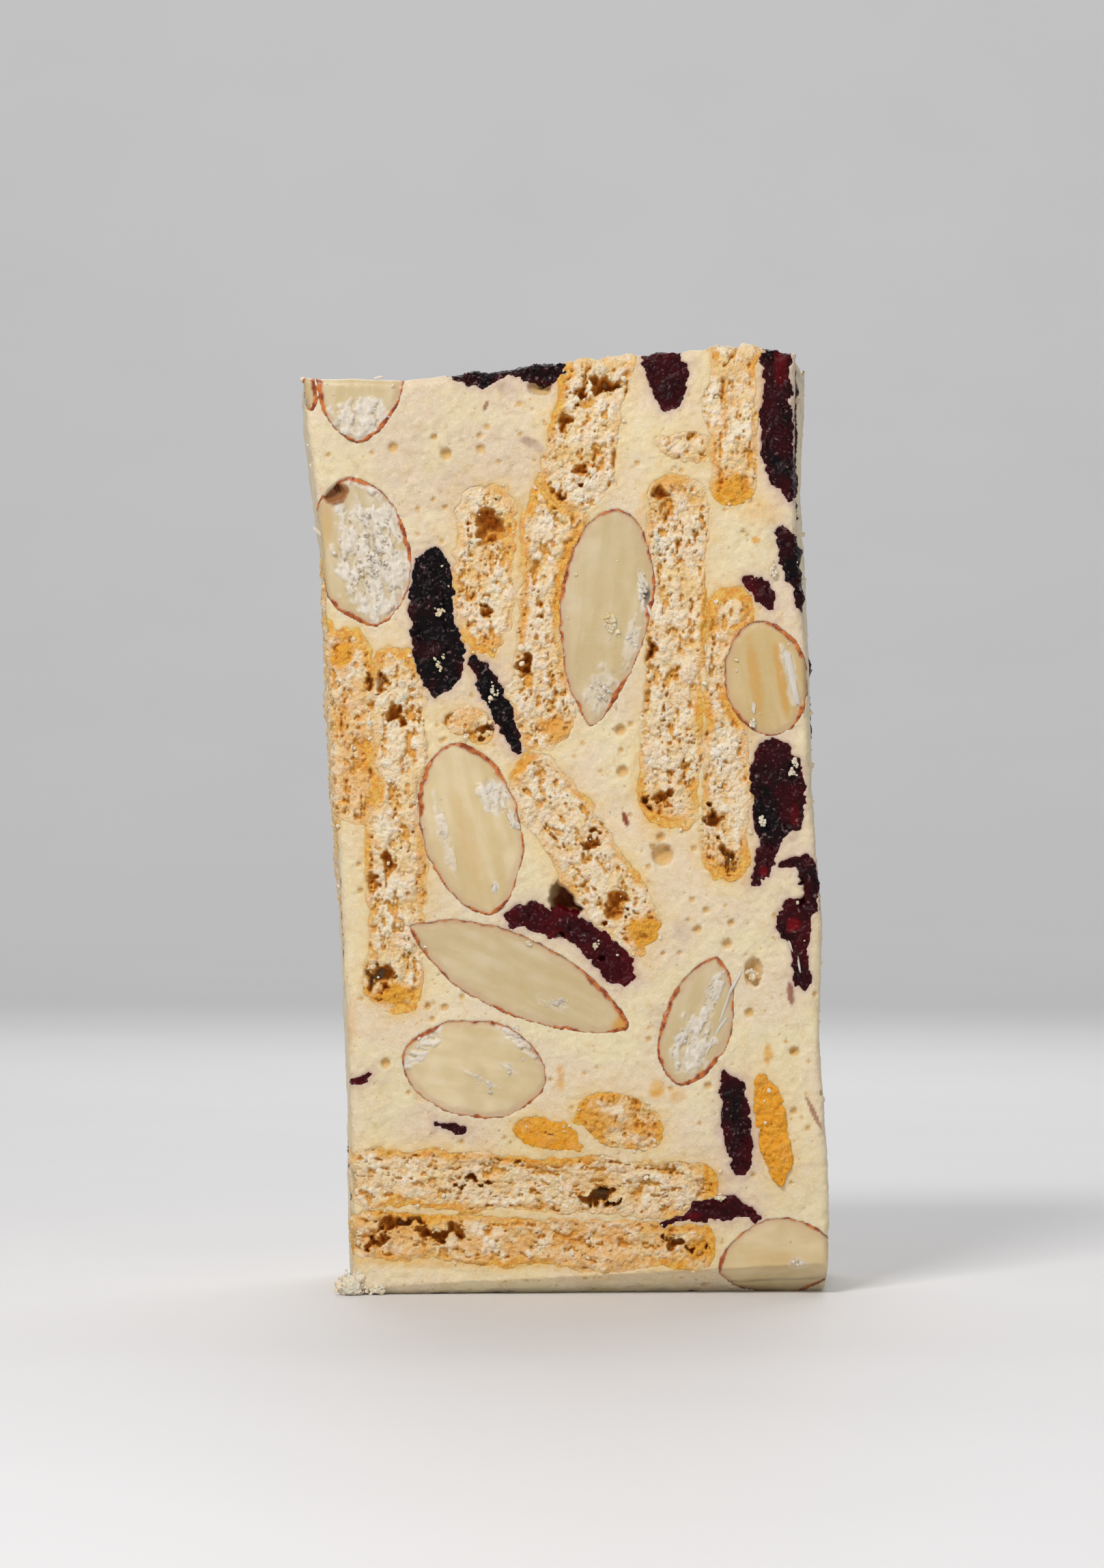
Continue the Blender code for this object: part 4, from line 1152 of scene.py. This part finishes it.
class Graph:
    """A material's node tree, with short calls that add nodes and join them."""

    def __init__(self, name):
        self.material = bpy.data.materials.new(name)
        self.material.use_nodes = True
        self.tree = self.material.node_tree
        self.shader = self.tree.nodes["Principled BSDF"]
        self.place = self.node("ShaderNodeTexCoord").outputs["Object"]

    def node(self, kind, inputs=None, **settings):
        made = self.tree.nodes.new(kind)
        for key, value in settings.items():
            setattr(made, key, value)
        for key, value in (inputs or {}).items():
            self.feed(made.inputs[key], value)
        return made

    def feed(self, socket, value):
        if isinstance(value, bpy.types.NodeSocket):
            self.tree.links.new(value, socket)
        else:
            socket.default_value = value

    def value(self, name):
        return self.node("ShaderNodeAttribute", attribute_name=name).outputs["Fac"]

    def noise(self, size, detail=3.0, roughness=0.5):
        inputs = {"Vector": self.place, "Scale": 1 / (size * MM), "Detail": detail, "Roughness": roughness}
        return self.node("ShaderNodeTexNoise", inputs).outputs["Fac"]

    def grain(self, size):
        inputs = {"Vector": self.place, "Scale": 1 / (size * MM)}
        return self.node("ShaderNodeTexVoronoi", inputs).outputs["Distance"]

    def range(self, value, low, high, to_low=0.0, to_high=1.0):
        inputs = {"Value": value, "From Min": low, "From Max": high, "To Min": to_low, "To Max": to_high}
        return self.node("ShaderNodeMapRange", inputs, interpolation_type="SMOOTHSTEP").outputs["Result"]

    def maths(self, operation, one, other):
        return self.node("ShaderNodeMath", {0: one, 1: other}, operation=operation).outputs["Value"]

    def mix(self, share, one, other):
        """Mixes two colours, each a socket or a display colour from 0 to 255."""
        made = self.node("ShaderNodeMix", data_type="RGBA")
        for index, value in ((0, share), (6, one), (7, other)):
            self.feed(made.inputs[index], srgb(*value) if isinstance(value, tuple) else value)
        return made.outputs[2]

    def tinted(self, base, colour, name, amount=None):
        """The base under a colour that is as strong as the mesh's value of this name, times the amount."""
        share = self.value(name)
        return self.mix(share if amount is None else self.maths("MULTIPLY", share, amount), base, colour)

    def mottled(self, base, colour, noise, low, high, most=1.0):
        """The base under uneven patches of a colour, from a noise of this size, detail and roughness."""
        return self.mix(self.range(self.noise(*noise), low, high, 0.0, most), base, colour)

    def bump(self, height, strength, distance):
        inputs = {"Height": height, "Strength": strength, "Distance": distance * MM}
        return self.node("ShaderNodeBump", inputs).outputs["Normal"]

    def finish(self, **sockets):
        for key, value in sockets.items():
            self.feed(self.shader.inputs[key.replace("_", " ")], value)
        return self.material


def srgb(red, green, blue):
    """A display colour from 0 to 255 as the linear colour that a shader takes."""
    shares = [value / 255 for value in (red, green, blue)]
    linear = [v / 12.92 if v < 0.04045 else ((v + 0.055) / 1.055) ** 2.4 for v in shares]
    return (*linear, 1.0)


def nougat_material():
    g = Graph("nougat_look")
    cream = g.mottled((236, 221, 181), (233, 214, 184), (5.0,), 0.38, 0.62)
    darker = g.mottled(cream, (224, 199, 150), (1.1, 5.0, 0.65), 0.46, 0.7, 0.6)
    # Fine pale specks stand in for the sparkle of the cut face: painted highlights.
    light = g.mottled(darker, (243, 231, 206), (0.25, 3.0, 0.65), 0.5, 0.68, 0.6)
    uneven = g.range(g.noise(0.9), 0.3, 0.7, 0.45, 1.0)
    toasty = g.tinted(light, (236, 190, 104), "toast", uneven)
    # Orange: real stains, and painted shade along the bottom strip.
    orange = g.tinted(toasty, (228, 168, 60), "orange", uneven)
    stained = g.tinted(orange, (190, 150, 152), "berry", 0.5)
    # Purple: real stains near the cranberries, and painted shade from the wide faint oval over the upper
    # left.
    purple = g.tinted(stained, (160, 125, 118), "purple", uneven)
    # Inside the bubbles, pits and hollows, a darker, more saturated yellow: painted shade.
    shaded = g.tinted(purple, (218, 174, 96), "pit", 0.85)
    # Seed brown: real seed slits, and painted shadow in the deep hollow at height 37.4.
    seeds_and_hollow_shade = g.tinted(shaded, (140, 62, 26), "seed")
    height = g.maths("ADD", g.noise(0.35, 4.0, 0.6), g.maths("MULTIPLY", g.noise(0.13, 2.0), 0.5))
    return g.finish(
        Base_Color=seeds_and_hollow_shade, Roughness=0.5, Specular_IOR_Level=0.35, Normal=g.bump(height, 0.8, 0.12),
        Subsurface_Weight=0.3, Subsurface_Radius=(1.0, 0.75, 0.45), Subsurface_Scale=0.0007,
    )


def biscuit_material():
    g = Graph("biscuit_look")
    crumbs = g.mix(g.value("lot"), (238, 220, 178), (248, 241, 228))
    toned = g.mottled(crumbs, (236, 202, 130), (2.6,), 0.46, 0.7, 0.55)
    uneven = g.range(g.noise(1.6), 0.35, 0.6, 0.2, 1.0)
    share = g.maths("MAXIMUM", g.maths("MULTIPLY", g.value("bake"), uneven), g.value("orange"))
    baked = g.mix(share, toned, (230, 168, 66))
    # The darker golden in the low places of the crumb is painted shade.
    golden = g.mix(share, (226, 180, 96), (222, 142, 38))
    sunk = g.tinted(baked, golden, "low", 0.95)
    crust = g.mottled((226, 148, 34), (236, 188, 88), (0.5, 4.0, 0.65), 0.38, 0.62)
    smoother = g.mix(g.range(g.value("bake"), 1.0, 1.6, 0.0, 0.6), crust, (240, 164, 44))
    rim = g.tinted(sunk, smoother, "crust", 0.9)
    # The caves, gaps and pores turn tawny, and deep brown at their cores: painted shade.
    cave_shade = g.mix(g.range(g.value("cave"), 0.0, 0.7, 0.0, 0.9), rim, (226, 164, 72))
    deep_cave_shade = g.mix(g.range(g.value("cave"), 0.6, 1.0, 0.0, 0.75), cave_shade, (196, 116, 38))
    height = g.maths("SUBTRACT", g.noise(0.3, 4.0, 0.6), g.grain(0.2))
    return g.finish(
        Base_Color=deep_cave_shade, Roughness=0.85, Specular_IOR_Level=0.1, Normal=g.bump(height, 0.9, 0.1),
        Subsurface_Weight=0.3, Subsurface_Radius=(1.0, 0.5, 0.2), Subsurface_Scale=0.0004,
    )


def almond_material():
    g = Graph("almond_look")
    band = g.range(g.value("band"), 0.25, 0.75)
    dull = g.mix(band, (196, 175, 130), (208, 190, 154))
    bright = g.mix(band, (222, 201, 154), (232, 214, 176))
    kernel = g.mix(g.value("light"), dull, bright)
    waxy = g.mottled(kernel, (206, 182, 132), (3.5, 2.0), 0.4, 0.65, 0.5)
    golden = g.tinted(waxy, (210, 172, 92), "yellow")
    dry = g.mottled(golden, (216, 202, 176), (0.35, 4.0, 0.7), 0.55, 0.72, 0.5)
    edge = g.tinted(dry, (204, 168, 136), "rim", 0.5)
    flaky = g.tinted(edge, (232, 224, 212), "flake", 0.95)
    # Orange on the almonds: real yellow stains, and painted shade on the low part of the bottom almond.
    yellow = g.tinted(flaky, (212, 158, 74), "orange")
    stained = g.tinted(yellow, (60, 32, 40), "purple")
    # Seed brown on the almonds darkens the hollow at the upper left: painted shade.
    hollow = g.tinted(stained, (150, 92, 44), "seed")
    brown = g.mottled((140, 58, 22), (204, 118, 52), (0.7,), 0.38, 0.62)
    skinned = g.tinted(hollow, brown, "skin")
    grain = g.maths("MULTIPLY", g.noise(0.12), g.maths("ADD", g.value("flake"), 0.25))
    height = g.maths("ADD", g.noise(0.6), grain)
    return g.finish(
        Base_Color=skinned, Roughness=0.38, Specular_IOR_Level=0.4, Normal=g.bump(height, 0.5, 0.1),
        Subsurface_Weight=0.3, Subsurface_Radius=(1.0, 0.85, 0.6), Subsurface_Scale=0.0008,
    )


def cranberry_material():
    g = Graph("cranberry_look")
    dark = g.mottled((4, 1, 1), (16, 5, 8), (1.1,), 0.35, 0.65)
    red = g.tinted(dark, (78, 2, 12), "red")
    # Orange on the cranberries: brighter red in places, one of them a painted highlight round the curl hole.
    seed = g.tinted(red, (112, 4, 14), "orange")
    glint = g.mottled(seed, (150, 118, 118), (0.42, 1.5, 0.5), 0.62, 0.76, 0.6)
    height = g.maths("ADD", g.noise(0.25, 4.0, 0.6), g.maths("MULTIPLY", g.noise(0.11, 2.0), 0.5))
    return g.finish(
        Base_Color=glint, Roughness=0.25, Specular_IOR_Level=0.12, Normal=g.bump(height, 0.9, 0.07),
    )


def floor_material():
    g = Graph("floor_look")
    inputs = {0: g.noise(60.0, 2.0), 6: FLOOR_DARKER, 7: FLOOR_LIGHTER}
    tone = g.node("ShaderNodeMix", inputs, data_type="RGBA").outputs[2]
    return g.finish(Base_Color=tone, Roughness=0.55)


def area_light(name, place, target, size, power, color):
    light = bpy.data.lights.new(name, "AREA")
    light.shape = "RECTANGLE"
    light.size, light.size_y = size
    light.energy = power
    light.color = color
    lamp = link(name, light)
    lamp.location = place
    lamp.rotation_euler = (Vector(target) - Vector(place)).to_track_quat("-Z", "Y").to_euler()


def backdrop():
    """A pale floor that sweeps up behind the bar."""
    profile = [(FLOOR_FRONT, 0.0), (FLOOR_BACK - FLOOR_BEND, 0.0)]
    for step in range(1, BEND_STEPS + 1):
        turn = math.radians(90 * step / BEND_STEPS)
        y = FLOOR_BACK - FLOOR_BEND + FLOOR_BEND * math.sin(turn)
        profile.append((y, FLOOR_BEND * (1 - math.cos(turn))))
    profile.append((FLOOR_BACK, FLOOR_HIGH))
    corners = [(x, y, z) for y, z in profile for x in (-FLOOR_WIDE, FLOOR_WIDE)]
    faces = [(2 * i, 2 * i + 1, 2 * i + 3, 2 * i + 2) for i in range(len(profile) - 1)]
    mesh = bpy.data.meshes.new("floor")
    mesh.from_pydata(corners, [], faces)
    mesh.shade_smooth()
    floor = link("floor", mesh)
    floor.data.materials.append(floor_material())


def studio():
    backdrop()
    for name, settings in LIGHTS.items():
        area_light(name, *settings)
    world = bpy.data.worlds.new("studio")
    world.use_nodes = True
    background = world.node_tree.nodes["Background"]
    background.inputs["Color"].default_value = WORLD_COLOUR
    background.inputs["Strength"].default_value = WORLD_STRENGTH
    bpy.context.scene.world = world
    bpy.context.scene.view_settings.view_transform = "Standard"
    camera = bpy.data.cameras.new("camera")
    camera.sensor_fit = "VERTICAL"
    camera.sensor_height = SENSOR_HEIGHT
    camera.lens = LENS
    camera.clip_start = 0.01
    holder = link("camera", camera)
    holder.location = CAMERA_PLACE
    holder.rotation_euler = (math.radians(90), 0.0, 0.0)
    bpy.context.scene.camera = holder


def dress(piece, kind, materials):
    """Gives a piece its material, and has it ride on the bar."""
    piece.data.materials.append(materials[kind])
    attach(piece, "root")


def main():
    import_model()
    coarser = 1.0
    materials = {
        "nougat": nougat_material(),
        "biscuit": biscuit_material(),
        "almond": almond_material(),
        "cranberry": cranberry_material(),
    }
    inclusions = all_inclusions()
    for inclusion in inclusions:
        piece = inclusion_object(inclusion, coarser)
        dress(piece, inclusion.kind, materials)
        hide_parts(inclusion.name)
    shells = [
        nougat_object("look_nougat_front", FACE_NAMES[:1], inclusions, FRONT_STEP["nougat"] * coarser),
        nougat_object("look_nougat_rest", FACE_NAMES[1:], inclusions, OTHER_STEP["nougat"] * coarser),
    ]
    for shell in shells:
        dress(shell, "nougat", materials)
        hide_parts("nougat")
    for loose, kind in loose_crumbs(inclusions):
        dress(loose, kind, materials)
    studio()
    bpy.context.view_layer.update()


main()
